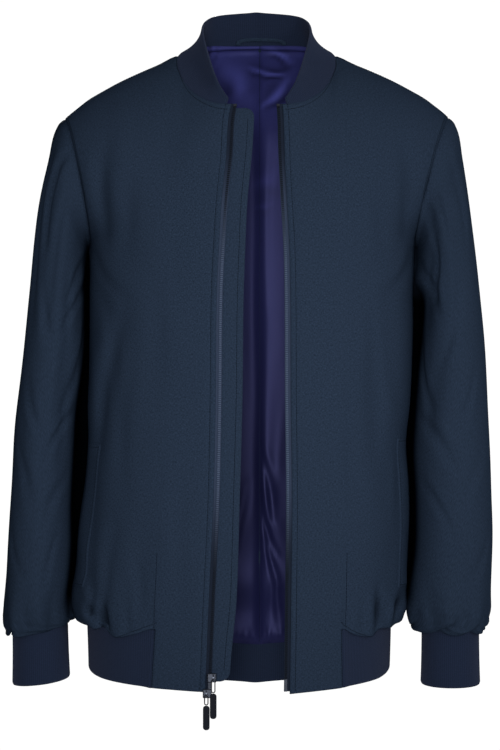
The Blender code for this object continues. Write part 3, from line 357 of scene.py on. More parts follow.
def block_share(h, z):
    """The share of a front at a column of its block, which widens downwards beside the rib."""
    top, bottom = HEM.at(0, "top"), HEM.at(0, "bottom")
    return h * (1 + BLOCK_FLARE * clamp((top - z) / (top - bottom)))


def front_low(side, h, z):
    """A front at a share h from its edge to the side seam, below the underarm."""
    edge = front_edge_x(side, z)
    half = side * BODY.at(z, side_name(side))
    x = mix(edge, half, h)
    return settle(FRONT, side, x, torso_y(FRONT, side, x, z), z)


def hem_turn(face, share):
    """Angle round the hem, in degrees, at a share of the section's half width."""
    turn = math.degrees(math.asin(clamp(share)))
    return turn if face == FRONT else 180 - turn


def hem_point(face, side, x_share, low):
    """The hem rib's outer surface: low is 0 at its top edge and 1 at its bottom edge."""
    half = mix(*HEM_HALF[side], low)
    deep = mix(*HEM_DEEP[face], low)
    turn = hem_turn(face, x_share)
    z = mix(HEM.at(turn, "top"), HEM.at(turn, "bottom"), low)
    y = SIDE_Y + face * deep * (1 - clamp(x_share) ** SQUARE) ** (1 / SQUARE)
    return Vector((side * half * x_share, y, z))


def rib_end_share(side):
    """Share of the rib's half width at which it starts."""
    z = HEM.at(30, "top")
    edge = front_edge_x(side, z)
    x = mix(edge, side * BODY.at(z, side_name(side)), RIB_END[side])
    return abs(x) / HEM_HALF[side][0]


def rolled(face, side, rib_share, step, body_at, ease=1.0):
    """A point of a panel at one step of its roll over the hem rib."""
    out, plain, hung, stand = ROLL[step]
    turn = hem_turn(face, rib_share)
    blouse = HEM.at(turn, "blouse")
    z = HEM.at(turn, "top") + mix(plain, hung, blouse ** 2)
    rib = hem_point(face, side, rib_share, 0)
    away = Vector((side * rib_share ** (SQUARE - 1) / HEM_HALF[side][0],
                   face * (1 - rib_share ** SQUARE) ** (1 - 1 / SQUARE) / HEM_DEEP[face][0], 0)).normalized()
    level = Vector((rib.x, rib.y, z)) + away * stand * math.sqrt(blouse)
    return level.lerp(body_at(z), mix(1, out, ease))


def front_roll(side, h, step):
    """A front at one step of its roll over the hem rib."""
    past = clamp((h - RIB_END[side]) / (1 - RIB_END[side]))
    rib_share = mix(rib_end_share(side), 1, past)
    return rolled(FRONT, side, rib_share, step, lambda z: front_low(side, h, z), clamp(past * ROLL_EASE))


def neck_point(side, turn, names="x y z"):
    x, y, z = (NECK.at(turn, name) for name in names.split())
    return Vector((side * x, y, z))


def front_top(side, h):
    """The top edge of a front: up the neck seam from the zip, then out along the shoulder seam."""
    if h < RIB_END[side]:
        return neck_point(side, NECK_POINT * h / RIB_END[side])
    return shoulder_point(side, (h - RIB_END[side]) / (1 - RIB_END[side]))


def shoulder_point(side, t):
    """The shoulder seam, from the neck point out to the armhole."""
    start = neck_point(side, NECK_POINT)
    end = ring_point(side, 0, 0.0)
    x = mix(start.x, end.x, t)
    ease = (start.z - RIDGE.at(abs(start.x), "z")) * (1 - t) + (end.z - RIDGE.at(abs(end.x), "z")) * t
    return Vector((x, mix(start.y, end.y, t), RIDGE.at(abs(x), "z") + ease))


def ring_point(side, ring, phi):
    """A point of a sleeve's ring: phi is 0 at its outer edge, a quarter turn on in front, half inside."""
    rows = SLEEVE[side]
    out_x, out_z, in_x, in_z, mid_y, deep, bow, nest = (rows.at(ring, name) for name in rows.names[1:])
    near, far = math.sin(phi), math.cos(phi)
    across = (1 + math.copysign(abs(far) ** RING_POWER, far)) / 2
    x = mix(in_x, out_x, across) - bow * abs(near)
    if near < 0 and far < 0:
        x -= nest * near ** 2 * far ** 4 / NEST_PEAK
    y = mid_y - deep * math.copysign(abs(near) ** RING_POWER, near)
    return Vector((side * x, y, mix(in_z, out_z, across)))


def armhole_point(side, face, w):
    """The edge of the armhole: w is 1 at the underarm and 0 at the shoulder."""
    return ring_point(side, 0, -face * math.pi * w)


def edge_bend(side, rise):
    """How far a front's edge lies from the straight line between its ends on the chest and at the neck."""
    top = neck_point(side, 0)
    z = mix(CHEST_Z, top.z, rise)
    return front_edge_x(side, z) - mix(front_edge_x(side, CHEST_Z), top.x, rise)


def upper(face, side, low, top, w, u):
    """A panel between its chest line and its top edge. u is 1 at the armhole and 0 at the edge or middle."""
    rise = 1 - mix(w ** UPPER_EASE, (1 - math.cos(math.pi * w)) / 2, u)
    point = low.lerp(top, rise)
    hole, hole_top, hole_low = (armhole_point(side, face, k) for k in (w, 0, 1))
    near = u ** 3
    bend = hole - hole_low.lerp(hole_top, (1 + math.cos(math.pi * w)) / 2)
    x = point.x + bend.x * near
    z = point.z + bend.z * near
    if face == FRONT:
        x += edge_bend(side, rise) * (1 - u) ** 3
    crest = CREST[face]
    reached = clamp(face * (top.y - SIDE_Y) / stand_out(face, side, top.x, top.z), 0, CREST_LIMIT)
    crest_z = top.z + crest * (1 - math.sqrt(1 - reached ** 2))

    def depth(px, pz):
        return SIDE_Y + face * stand_out(face, side, px, pz) * arched((crest_z - pz) / crest)

    top_gap = top.y - depth(top.x, top.z)
    hole_gap = hole.y - depth(hole.x, hole.z)
    corner_gap = hole_top.y - depth(hole_top.x, hole_top.z)
    low_gap = low.y - depth(low.x, low.z)
    fade = (1 - w) ** 2
    y = depth(x, z) + fade * top_gap + near * (hole_gap - fade * corner_gap)
    y += w ** LOW_EASE * (1 - near) * low_gap
    return settle(face, side, x, y, z) if 0 < w < 1 and u < SEWN_EDGE else Vector((x, y, z))


def front_point(side, h, v):
    """A front by share h across it, and v: -2..0 the block beside the rib, 0..3 the roll, then rows up."""
    if v < 0:
        top = front_roll(side, h, 0)
        out = h / RIB_END[side]
        z = mix(top.z, mix(BLOCK_BOTTOM[side], BLOCK_BOTTOM_OUT, out), -v / 2)
        return front_low(side, block_share(h, z), z)
    if v < len(ROLL):
        return front_roll(side, h, v)
    row = v - len(ROLL)
    if row < len(BODY_ROWS):
        return front_low(side, h, BODY_ROWS[row])
    w = UPPER_STEPS[row - len(BODY_ROWS)]
    return upper(FRONT, side, front_low(side, h, CHEST_Z), front_top(side, h), w, h ** COLUMN_EASE)


def back_wave(x_share, z, seam_z):
    """The gathers of the back over the hem rib."""
    fade = clamp(1 - (z - seam_z) / GATHER_RISE) ** GATHER_FADE
    return HEM_GATHER_DEEP * fade * math.cos(2 * math.pi * HEM_GATHERS * (x_share + 1) / 2)


def back_low(share, z):
    side = RIGHT if share < 0 else LEFT
    x = share * BODY.at(z, side_name(side))
    point = settle(BACK, side, x, torso_y(BACK, side, x, z), z)
    seam_z = HEM.at(hem_turn(BACK, abs(share)), "top")
    point.y += back_wave(share, z, seam_z) * clamp((1 - abs(share)) * ROLL_EASE)
    return point


def back_half():
    """Shares of the columns of half the back, closer together towards the side."""
    half = BACK_COLUMNS // 2
    return [mix(k / half, math.sin(math.pi / 2 * k / half), BACK_TURN) for k in range(1, half + 1)]


def back_top(share):
    """The top edge of the back: shoulder seam, back of the neck, shoulder seam."""
    side = RIGHT if share < 0 else LEFT
    neck_share = back_half()[NECK_COLUMN - 1]
    if abs(share) < neck_share:
        return neck_point(side, mix(1, NECK_POINT, abs(share) / neck_share))
    return shoulder_point(side, (abs(share) - neck_share) / (1 - neck_share))


def back_rows_z(share, row):
    """Rows of the back run level above and follow the lower rib at the bottom."""
    drop = HEM.at(hem_turn(BACK, abs(share)), "top") - HEM.at(90, "top")
    return BODY_ROWS[row] + drop * clamp(1 - row / BACK_LEVEL)


def back_point(share, v):
    """The back by share of its half width, and the same rows as the fronts."""
    side = RIGHT if share < 0 else LEFT
    if v < len(ROLL):
        return rolled(BACK, side, abs(share), v, lambda z: back_low(share, z))
    row = v - len(ROLL)
    if row < len(BODY_ROWS):
        return back_low(share, back_rows_z(share, row))
    w = UPPER_STEPS[row - len(BODY_ROWS)]
    return upper(BACK, side, back_low(share, CHEST_Z), back_top(share), w, abs(share) ** COLUMN_EASE)


PANEL_ROWS = len(ROLL) + len(BODY_ROWS) + len(UPPER_STEPS)


def relaxed(grid, centres):
    """The grid with its rows above the chest evened out about the columns below the neck points."""
    first = len(ROLL) + len(BODY_ROWS)
    for _ in range(RELAX_TIMES):
        old = [list(row) for row in grid]
        for i in range(first, PANEL_ROWS - 1):
            for j in range(1, len(grid[0]) - 1):
                share = max(clamp(1 - abs(j - c) / RELAX_REACH) for c in centres)
                middle = (old[i][j - 1] + old[i][j + 1] + old[i - 1][j] + old[i + 1][j]) / 4
                grid[i][j] = old[i][j].lerp(middle, RELAX_SHARE * share)
    return grid


def front_shares(side):
    """Shares of the columns of a front, closer together where it turns to the side."""
    near, far = FRONT_COLUMNS
    shares = [RIB_END[side] * k / near for k in range(near)]
    for k in range(far + 1):
        shares.append(mix(RIB_END[side], 1, mix(k / far, math.sin(math.pi / 2 * k / far), FRONT_TURN)))
    return shares


def front_grid(side):
    """The points of a front above the hem rib's top."""
    shares = front_shares(side)
    return relaxed([[front_point(side, h, v) for h in shares] for v in range(PANEL_ROWS)], FRONT_COLUMNS[:1])


def back_shares():
    return [-s for s in reversed(back_half())] + [0.0] + back_half()


def back_grid():
    """The points of the back."""
    middle = BACK_COLUMNS // 2
    grid = [[back_point(s, v) for s in back_shares()] for v in range(PANEL_ROWS)]
    return relaxed(grid, (middle - NECK_COLUMN, middle + NECK_COLUMN))


def sleeve_push(side, z, degrees, ring):
    push = 0.0
    for z0, a0, z1, a1, wide, deep in SLEEVE_FOLDS[side]:
        along = clamp((z - z0) / (z1 - z0))
        beyond = max(z - z0, z1 - z, 0.0) / SLEEVE_FADE
        off = (degrees - mix(a0, a1, along)) / wide
        push += deep * math.exp(-off * off - beyond * beyond)
    above = clamp(1 - (CUFF_GATHER_RING - ring) / CUFF_GATHER_RISE)
    below = clamp((SLEEVE_LAST - ring) / (SLEEVE_LAST - CUFF_GATHER_RING)) ** GATHER_FADE
    return push + CUFF_GATHER_DEEP * min(above, below) * math.cos(math.radians(degrees) * CUFF_GATHERS)


def sleeve_point(side, ring, phi):
    point = ring_point(side, ring, phi)
    if 0 < ring < SLEEVE_LAST:
        middle = (ring_point(side, ring, 0) + ring_point(side, ring, math.pi)) / 2
        turn = math.degrees(phi) % 360
        push = sleeve_push(side, point.z, turn, ring)
        inner = clamp((turn - INNER_FROM) / INNER_EASE) * clamp((INNER_TO - turn) / INNER_EASE)
        out = (point - middle).normalized()
        point = point + out * (push if push < 0 else push * (1 - inner))
    return point


def cuff_point(side, low, phi):
    top = ring_point(side, SLEEVE_LAST, phi)
    outer, inner = CUFF_BOTTOM[side]
    share = (1 + math.cos(phi)) / 2
    bottom_z = mix(inner, outer, share) - CUFF_FRONT_DROP * max(0.0, math.sin(phi))
    return Vector((top.x, top.y, mix(top.z - CUFF_SEAM, bottom_z, low)))


def collar_point(side, turn, rise):
    """The collar from the neck seam up to its free edge, flared at the seam."""
    base = neck_point(side, turn)
    top = neck_point(side, turn, "top_x top_y top_z")
    height = top.z - base.z
    across, deep, up = COLLAR_KNEE
    knee = Vector((mix(base.x, top.x, across), mix(base.y, top.y, deep), base.z + up * height))
    return base.lerp(knee, rise).lerp(knee.lerp(top, rise), rise)


# ---------------------------------------------------------------------------------------------------
# Fine surfaces
# ---------------------------------------------------------------------------------------------------

RIB_PITCH, KNIT_PITCH = 2.3, 1.5    # from one rib of the knit to the next, and from one loop to the next
BAND_DEEP, COLLAR_DEEP = 0.10, 0.26    # depth of the ribs on the cuffs and the hem, and on the collar
# Small cells where a cloth ends: distances from a plain edge, a topstitched one and a rolled one.
EDGE = (0.0, 0.7, 1.6, 3.0)
STITCHED_EDGE = (0.0, 0.7, 1.6, 3.4, 4.9, 5.9, 6.9, 8.8)
ROLLED_EDGE = (0.0, 0.7, 1.6, 3.0, 4.6, 6.2, 7.8, 9.4, 11.0, 13.0, 15.0, 17.5, 20.0, 23.0)


def grid_of(rows):
    return np.array([[tuple(p) for p in row] for row in rows], float)


def chords(points, axis):
    """Mean distance of each row of a grid, or each column, from the first one."""
    steps = np.linalg.norm(np.diff(points, axis=axis), axis=2).mean(axis=1 - axis)
    return np.concatenate(([0.0], np.cumsum(steps)))


def through(points, at, want, axis=0):
    """Rows or columns at the wanted distances, on smooth curves through the given ones."""
    points = np.moveaxis(points, axis, 0)
    slope = np.gradient(points, at, axis=0)
    i = np.clip(np.searchsorted(at, want, side="right") - 1, 0, len(at) - 2)
    span = (at[i + 1] - at[i])[:, None, None]
    t = (want - at[i])[:, None, None] / span
    found = (2 * t ** 3 - 3 * t ** 2 + 1) * points[i] + (3 * t ** 2 - 2 * t ** 3) * points[i + 1]
    found = found + span * ((t ** 3 - 2 * t ** 2 + t) * slope[i] + (t ** 3 - t ** 2) * slope[i + 1])
    return np.moveaxis(found, 0, axis)


def spread(total, cell, low=EDGE, high=EDGE):
    """Distances along a length in even cells, with the given smaller steps at its two ends."""
    steps = max(2, round((total - low[-1] - high[-1]) / cell))
    middle = np.linspace(low[-1], total - high[-1], steps + 1)
    return np.concatenate((low[:-1], middle, total - np.array(high[:-1])[::-1]))


def fine(points, rows, columns):
    """The grid with new rows and columns: each is a function that takes a length and returns the places."""
    up, across = chords(points, 0), chords(points, 1)
    return through(through(points, up, rows(up[-1]), 0), across, columns(across[-1]), 1)


def around(points, cell):
    """A closed grid with even cells along its rows."""
    wrapped = np.concatenate((points[:, -3:], points, points[:, :4]), axis=1)
    at = chords(wrapped, 1)
    first, last = at[3], at[3 + points.shape[1]]
    count = round((last - first) / cell)
    return through(wrapped, at, np.linspace(first, last, count + 1)[:-1], axis=1)


def interpolated(want, at, points):
    """The wanted places on a line of points that lie at the given places."""
    return np.stack([np.interp(want, at, points[:, k]) for k in range(3)], axis=1)


def corners(values):
    """The four corners of each cell of a grid, in order round it."""
    return values[:-1, :-1], values[:-1, 1:], values[1:, 1:], values[1:, :-1]


def axis_at(points):
    """The point of the body's upright axis at the height of each point."""
    return (0, SIDE_Y, 0) + points * (0, 0, 1)


class Cloth:
    """A fine grid of points, with its outward side and each point's distance along its row and column."""

    def __init__(self, points, hub, closed=False, keep=None):
        self.points, self.closed = points, closed
        rows, columns = points.shape[:2]
        self.keep = np.ones((rows - 1, columns if closed else columns - 1), bool) if keep is None else keep
        self.normals, self.flip = self.outward(hub)
        steps = np.linalg.norm(np.diff(self.wrapped(points), axis=1), axis=2)
        self.across = np.concatenate((np.zeros((rows, 1)), np.cumsum(steps, axis=1)), axis=1)
        steps = np.linalg.norm(np.diff(points, axis=0), axis=2)
        self.up = np.concatenate((np.zeros((1, columns)), np.cumsum(steps, axis=0)))

    def wrapped(self, values):
        """The values, with their first column once more at the end of a closed cloth."""
        return np.concatenate((values, values[:, :1]), axis=1) if self.closed else values

    def outward(self, hub):
        """Unit normals on the side away from the hub, and whether the faces turn round for it."""
        wrap = self.wrapped(self.points)
        a, b, c, d = corners(wrap)
        cell = np.cross(c - a, d - b)
        cell = cell / (np.linalg.norm(cell, axis=2, keepdims=True) + 1e-9) * self.keep[..., None]
        total = np.zeros_like(wrap)
        for rows in (slice(None, -1), slice(1, None)):
            for columns in (slice(None, -1), slice(1, None)):
                total[rows, columns] += cell
        if self.closed:
            total[:, 0] += total[:, -1]
            total = total[:, :-1]
        normals = total / (np.linalg.norm(total, axis=2, keepdims=True) + 1e-9)
        flip = ((self.points - hub) * normals).sum() < 0
        return (-normals if flip else normals), flip

    def right(self):
        """Distance of each point from the last column."""
        return self.across[:, -1:] - self.across[:, :self.points.shape[1]]

    def left(self):
        """Distance of each point from the first column."""
        return self.across[:, :self.points.shape[1]]

    def top(self):
        """Distance of each point from the last row."""
        return self.up[-1:] - self.up

    def pushed(self, push):
        """The same cloth with each point moved outwards."""
        moved = copy.copy(self)
        moved.points = self.points + self.normals * push[..., None]
        return moved

    def area(self):
        """Area of the kept cells in square metres."""
        a, b, c, d = corners(self.wrapped(self.points))
        return (np.linalg.norm(np.cross(c - a, d - b), axis=2) / 2 * self.keep).sum() * MM * MM

    def at(self, row, column):
        """Point and outward direction at fractional places of the grid."""
        rows, columns = self.points.shape[:2]
        i = np.clip(np.floor(row).astype(int), 0, rows - 2)
        j = np.clip(np.floor(column).astype(int), 0, columns - 2)
        s, t = (row - i)[:, None], (column - j)[:, None]
        out = []
        for field in (self.points, self.normals):
            low = field[i, j] * (1 - t) + field[i, j + 1] * t
            high = field[i + 1, j] * (1 - t) + field[i + 1, j + 1] * t
            out.append(low * (1 - s) + high * s)
        return out

    def upright(self, first, last, distance, field=None):
        """A line over the rows first..last, where the field is at the distance. The plain field is left()."""
        field = self.left() if field is None else field
        rows = np.arange(first, last + 1)
        columns = [np.interp(distance, field[i], np.arange(field.shape[1])) for i in rows]
        return self.at(rows.astype(float), np.array(columns))

    def level(self, first, last, distance, field=None):
        """A line over the columns first..last, where the field is at the distance. The plain field is up."""
        field = self.up if field is None else field
        columns = np.arange(first, last + 1)
        rows = [np.interp(distance, field[:, j], np.arange(len(field))) for j in columns]
        return self.at(np.array(rows), columns.astype(float))


CREASE_REACH = 1.5                    # a crease runs out past its ends over this many of its widths
CREASE_VARIES = (0.25, 4.3, 1.7)    # how much its width varies, how fast along it, and from each to the next
CREASE_ENDS = (0.25, 0.06, 0.8)       # its depth at its ends, how long the ends are, and the ease between them
CREASE_SWELLS = ((0.42, 1.9, 1.1), (0.2, -2.1, 1.2))    # height, place and width of the swells beside it


def creased(u, v, rows):
    """Depth of the creases at (u, v): uneven troughs and ridges, each with a soft swell on both sides."""
    push = np.zeros(np.broadcast(u, v).shape)
    vary, fast, shift = CREASE_VARIES
    shallow, end, ease = CREASE_ENDS
    for k, (u0, v0, u1, v1, bow, wide, deep) in enumerate(rows):
        du, dv = u1 - u0, v1 - v0
        long = math.hypot(du, dv)
        along = ((u - u0) * du + (v - v0) * dv) / long ** 2
        t = np.clip(along, 0, 1)
        off = ((u - u0) * dv - (v - v0) * du) / long - bow * 4 * t * (1 - t)
        beyond = np.maximum(np.maximum(along - 1, -along), 0) * long / (CREASE_REACH * wide)
        width = wide * (1 + vary * np.sin(fast * t + shift * k))
        middle = np.sin(math.pi * np.clip(t, end, 1 - end)) ** ease
        strength = (shallow + (1 - shallow) * middle) * np.exp(-beyond ** 2)
        off = off / width
        swell = sum(high * np.exp(-((off - at) / across) ** 2) for high, at, across in CREASE_SWELLS)
        push += deep * strength * (np.exp(-off ** 2) - swell)
    return push


# Slow unevenness of each cloth: seed of its random waves, their height and their length.
UNEVEN = {
    "front": (11, 0.55, 130.0),
    "back": (5, 0.6, 130.0),
    "sleeve": (31, 0.6, 130.0),
    "hem": (3, 0.5, 90.0),
    "lining": (61, 0.5, 110.0),
    "guard": (9, 0.35, 70.0),
    "welt": (77, 0.2, 60.0),
}
UNEVEN_WAVES = 7
UNEVEN_WAY = (1, 1, 0.6)    # the waves run more across than up


def rippled(points, kind, side=0):
    """Slow unevenness of the cloth, as a sum of waves in random directions."""
    seed, high, long = UNEVEN[kind]
    draw = np.random.default_rng(seed + side)
    push = np.zeros(points.shape[:2])
    for _ in range(UNEVEN_WAVES):
        way = draw.normal(size=3) * UNEVEN_WAY
        way /= np.linalg.norm(way)
        length = long * draw.uniform(0.5, 1.5)
        push += np.sin(points @ way * 2 * math.pi / length + draw.uniform(0, 2 * math.pi))
    return push * high / math.sqrt(UNEVEN_WAVES)


def fading(*distances, over=9.0):
    """0 on the seams and 1 away from them."""
    share = 1.0
    for distance in distances:
        share = share * (1 - np.exp(-(np.maximum(distance, 0) / over) ** 2))
    return share


def turned(*distances, deep=0.9, over=1.3):
    """The rounding of edges and seams."""
    push = 0.0
    for distance in distances:
        push = push - deep * np.exp(-(distance / over) ** 2)
    return push


def eased(value, start, end):
    """A smooth step from 0 at the start to 1 at the end."""
    t = np.clip((value - start) / (end - start), 0, 1)
    return t * t * (3 - 2 * t)


def sunk(distance, line, deep=0.7, over=1.1):
    """The groove that a topstitch pulls at a distance from an edge."""
    return -deep * np.exp(-((distance - line) / over) ** 2)


# ---------------------------------------------------------------------------------------------------
# Finishes
# ---------------------------------------------------------------------------------------------------


RAMP_PLACES = (0.3, 0.7)    # a noise's values at which a colour is wholly the low or the high one


class Finish:
    """A procedural material, built node by node."""

    def __init__(self, name, rough, **sockets):
        self.material = bpy.data.materials.new(name)
        self.material.use_nodes = True
        self.tree = self.material.node_tree
        self.shader = self.tree.nodes["Principled BSDF"]
        self.shader.inputs["Roughness"].default_value = rough
        for key, value in sockets.items():
            self.shader.inputs[key.replace("_", " ")].default_value = value

    def node(self, kind, *links, **settings):
        """A node, with its first inputs linked or set, and its settings."""
        made = self.tree.nodes.new(kind)
        for key, value in settings.items():
            if key in ("operation", "blend_type", "data_type", "noise_dimensions", "feature"):
                setattr(made, key, value)
            else:
                made.inputs[key.replace("_", " ")].default_value = value
        for k, link in enumerate(links):
            if link is None:
                continue
            if isinstance(link, (int, float, tuple)):
                made.inputs[k].default_value = link
            else:
                self.tree.links.new(link, made.inputs[k])
        return made

    def math(self, operation, *values):
        return self.node("ShaderNodeMath", *values, operation=operation).outputs[0]

    def uv(self, stretch=(1, 1, 1)):
        place = self.node("ShaderNodeUVMap").outputs[0]
        return self.node("ShaderNodeVectorMath", place, stretch, operation="MULTIPLY").outputs[0]

    def noise(self, vector, scale, detail=2.0, rough=0.5):
        return self.node("ShaderNodeTexNoise", vector, Scale=scale, Detail=detail, Roughness=rough).outputs[0]

    def between(self, share, low, high):
        """A colour that runs from low to high with the share."""
        ramp = self.node("ShaderNodeValToRGB", share)
        for stop, place, colour in zip(ramp.color_ramp.elements, RAMP_PLACES, (low, high)):
            stop.position = place
            stop.color = (*colour, 1)
        return ramp.outputs[0]

    def colour(self, output):
        self.tree.links.new(output, self.shader.inputs["Base Color"])

    def shaded(self, output):
        """The colour, darker by the share of painted shade that the mesh holds for each of its points (a
        negative share is a painted highlight).
        """
        dark = self.node("ShaderNodeAttribute")
        dark.attribute_name = "Shadow"
        light = self.math("SUBTRACT", 1.0, dark.outputs["Fac"])
        self.colour(self.node("ShaderNodeVectorMath", output, light, operation="MULTIPLY").outputs[0])

    def bump(self, height, distance, strength=1.0):
        made = self.node("ShaderNodeBump", Strength=strength, Distance=distance * MM)
        self.tree.links.new(height, made.inputs["Height"])
        self.tree.links.new(made.outputs[0], self.shader.inputs["Normal"])


def scaled(colour, by):
    return tuple(c * by for c in colour)


# Base colours, in linear values.
WOOL = (0.0212, 0.0346, 0.0608)
RIB_COLOUR = (0.0166, 0.0257, 0.0538)
SATIN = (0.0316, 0.0350, 0.1455)
TAPE_COLOUR = (0.0380, 0.0535, 0.0930)
COIL_COLOUR = (0.082, 0.112, 0.180)
METAL_COLOUR = (0.050, 0.056, 0.072)
TAB_COLOUR = (0.0055, 0.0070, 0.0130)


def woven(name, colour, contrast, yarn, rough, sheen, tint):
    """Plain-woven cloth: heathered yarns both ways, a weave bump and a soft nap."""
    made = Finish(name, rough, Sheen_Weight=sheen, Sheen_Roughness=0.5, Sheen_Tint=(*tint, 1),
                  Specular_IOR_Level=0.0)
    warp = made.noise(made.uv((1 / yarn, 0.4 / yarn, 1)), 1.0)
    weft = made.noise(made.uv((0.4 / yarn, 1 / yarn, 1)), 1.0)
    heather = made.math("MULTIPLY", made.math("ADD", warp, weft), 0.5)
    made.shaded(made.between(heather, scaled(colour, 1 - contrast), scaled(colour, 1 + contrast)))
    split = made.node("ShaderNodeSeparateXYZ", made.uv((2 * math.pi / yarn, 2 * math.pi / yarn, 1)))
    over = made.math("SINE", split.outputs[0])
    under = made.math("SINE", split.outputs[1])
    weave = made.math("ADD", made.math("MULTIPLY", over, under), made.math("MULTIPLY", heather, 3.0))
    made.bump(weave, 0.06)
    return made.material


KNIT_LEAN, KNIT_FUZZ = 1.6, 2.0    # slant of the loops beside a rib, and share of fuzz in the knit's relief


def knitted(name, colour, rough):
    """Knit rib: painted shade that darkens the valleys between the ribs, and small slanting loops on them."""
    made = Finish(name, rough, Sheen_Weight=0.08, Sheen_Roughness=0.5, Sheen_Tint=(0.6, 0.65, 1.0, 1),
                  Specular_IOR_Level=0.04)
    split = made.node("ShaderNodeSeparateXYZ", made.uv())
    rib = made.math("COSINE", made.math("MULTIPLY", split.outputs[0], 2 * math.pi / RIB_PITCH))
    lean = made.math("MULTIPLY", made.math("ABSOLUTE", rib), KNIT_LEAN)
    climb = made.math("MULTIPLY", split.outputs[1], 2 * math.pi / KNIT_PITCH)
    loop = made.math("SINE", made.math("ADD", climb, lean))
    fuzz = made.noise(made.uv(), 1.3, 3.0)
    # painted shade: the ribs' crests are lighter in colour and the valleys between them darker
    share = made.math("ADD", made.math("MULTIPLY", rib, 0.10), fuzz)
    made.colour(made.between(share, scaled(colour, 0.62), scaled(colour, 1.25)))
    made.bump(made.math("ADD", loop, made.math("MULTIPLY", fuzz, KNIT_FUZZ)), 0.12)
    return made.material


def satin(name, colour):
    """Smooth cloth with a broad sheen and a fine lengthwise grain."""
    made = Finish(name, 0.42, Sheen_Weight=0.05, Sheen_Roughness=0.3, Sheen_Tint=(0.5, 0.5, 1.0, 1),
                  Specular_IOR_Level=0.22, Specular_Tint=(0.4, 0.42, 1.0, 1))
    fine = made.noise(made.uv((0.25, 3.0, 1)), 1.0)
    made.shaded(made.between(fine, scaled(colour, 0.9), scaled(colour, 1.1)))
    made.bump(fine, 0.02)
    return made.material


def metal(name, colour, rough):
    """Dark metal, a little worn."""
    made = Finish(name, rough, Metallic=1.0)
    place = made.node("ShaderNodeTexCoord").outputs["Object"]
    worn = made.noise(place, 900.0, 3.0)
    made.colour(made.between(worn, scaled(colour, 0.75), scaled(colour, 1.2)))
    made.bump(worn, 0.03)
    return made.material


def moulded(name, colour, rough, shine):
    """Plastic or thread, with a fine grain."""
    made = Finish(name, rough, Specular_IOR_Level=shine)
    place = made.node("ShaderNodeTexCoord").outputs["Object"]
    grain = made.noise(place, 1500.0, 2.0)
    made.shaded(made.between(grain, scaled(colour, 0.8), scaled(colour, 1.25)))
    made.bump(grain, 0.02)
    return made.material


FINISH = {
    "wool": woven("wool", WOOL, 0.45, 1.0, 0.9, 0.0, (0.62, 0.75, 1.0)),
    "rib": knitted("rib", RIB_COLOUR, 0.9),
    "satin": satin("satin", SATIN),
    "tape": woven("tape", TAPE_COLOUR, 0.2, 0.6, 0.8, 0.04, (0.7, 0.75, 1.0)),
    "coil": moulded("coil", COIL_COLOUR, 0.55, 0.05),
    "metal": metal("metal", METAL_COLOUR, 0.34),
    "tab": moulded("tab", TAB_COLOUR, 0.42, 0.07),
}
THREAD = moulded("thread", scaled(WOOL, 0.3), 0.9, 0.02)


# ---------------------------------------------------------------------------------------------------
# Pieces
# ---------------------------------------------------------------------------------------------------

GARMENT = "garment"


def piece(name, points, faces, slot, nodes=(), uvs=None, finish=None, shadow=None):
    """A named object from points in millimetres, which rides on the garment and stands for its CAD nodes."""
    mesh = bpy.data.meshes.new(name)
    faces = faces.tolist() if isinstance(faces, np.ndarray) else faces
    mesh.from_pydata((np.asarray(points) * MM).tolist(), [], faces)
    if uvs is not None:
        mesh.uv_layers.new(name="Grain").data.foreach_set("uv", uvs.ravel())
    if shadow is not None:
        dark = mesh.attributes.new("Shadow", "FLOAT", "POINT")
        dark.data.foreach_set("value", np.asarray(shadow, np.float32))
    mesh.materials.append(finish or FINISH[slot])
    mesh.shade_smooth()
    made = bpy.data.objects.new(name, mesh)
    bpy.context.scene.collection.objects.link(made)
    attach(made, GARMENT)
    if nodes:
        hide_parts(*nodes)
    return made


def border(faces, uvs, count):
    """Faces that join the open edges of a layer to the same edges of the layer count points further on."""
    starts, ends = faces.ravel(), np.roll(faces, -1, axis=1).ravel()
    keys, back = starts * count + ends, ends * count + starts
    alone = ~np.isin(keys, back)
    a, b = starts[alone], ends[alone]
    at, to = uvs.reshape(-1, 2)[alone], np.roll(uvs, -1, axis=1).reshape(-1, 2)[alone]
    return np.stack((b, a, a + count, b + count), axis=1), np.stack((to, at, at, to), axis=1)


def sewn(name, cloth, slot, wall, nodes=(), along=None, core=None, shadow=None):
    """A piece of cloth as a thin shell behind its outer surface. The shell's inner
    side lies a wall's thickness behind the core, which is the cloth itself or a smoother form of it."""
    rows, columns = cloth.points.shape[:2]
    index = cloth.wrapped(np.arange(rows * columns).reshape(rows, columns))
    across = cloth.across if along is None else np.broadcast_to(along, cloth.across.shape)
    grain = np.stack((across, cloth.wrapped(cloth.up)), axis=2)
    faces = np.stack(corners(index), axis=-1)[cloth.keep]
    uvs = np.stack(corners(grain), axis=-2)[cloth.keep]
    if cloth.flip:
        faces, uvs = faces[:, ::-1], uvs[:, ::-1]
    used, faces = np.unique(faces, return_inverse=True)
    faces = faces.reshape(-1, 4)
    core = core or cloth
    outer = cloth.points.reshape(-1, 3)[used]
    inner = (core.points - core.normals * wall).reshape(-1, 3)[used]
    if shadow is not None:
        shadow = np.tile(shadow.ravel()[used], 2)
    rim, rim_uvs = border(faces, uvs, len(used))
    faces = np.concatenate((faces, faces[:, ::-1] + len(used), rim))
    uvs = np.concatenate((uvs, uvs[:, ::-1], rim_uvs))
    made = piece(name, np.concatenate((outer, inner)), faces, slot, nodes, uvs, shadow=shadow)
    print(f"{name}: {cloth.area():.4f} m2, {cloth.across[:, -1].mean():.0f} x {cloth.up[-1].mean():.0f} mm, "
          f"{len(faces)} cells")
    return made


# Rings of a rod: share of its length from its middle, and share of its half thickness.
THREAD_RINGS = ((-0.5, 0.4), (-0.34, 1.0), (0.34, 1.0), (0.5, 0.4))


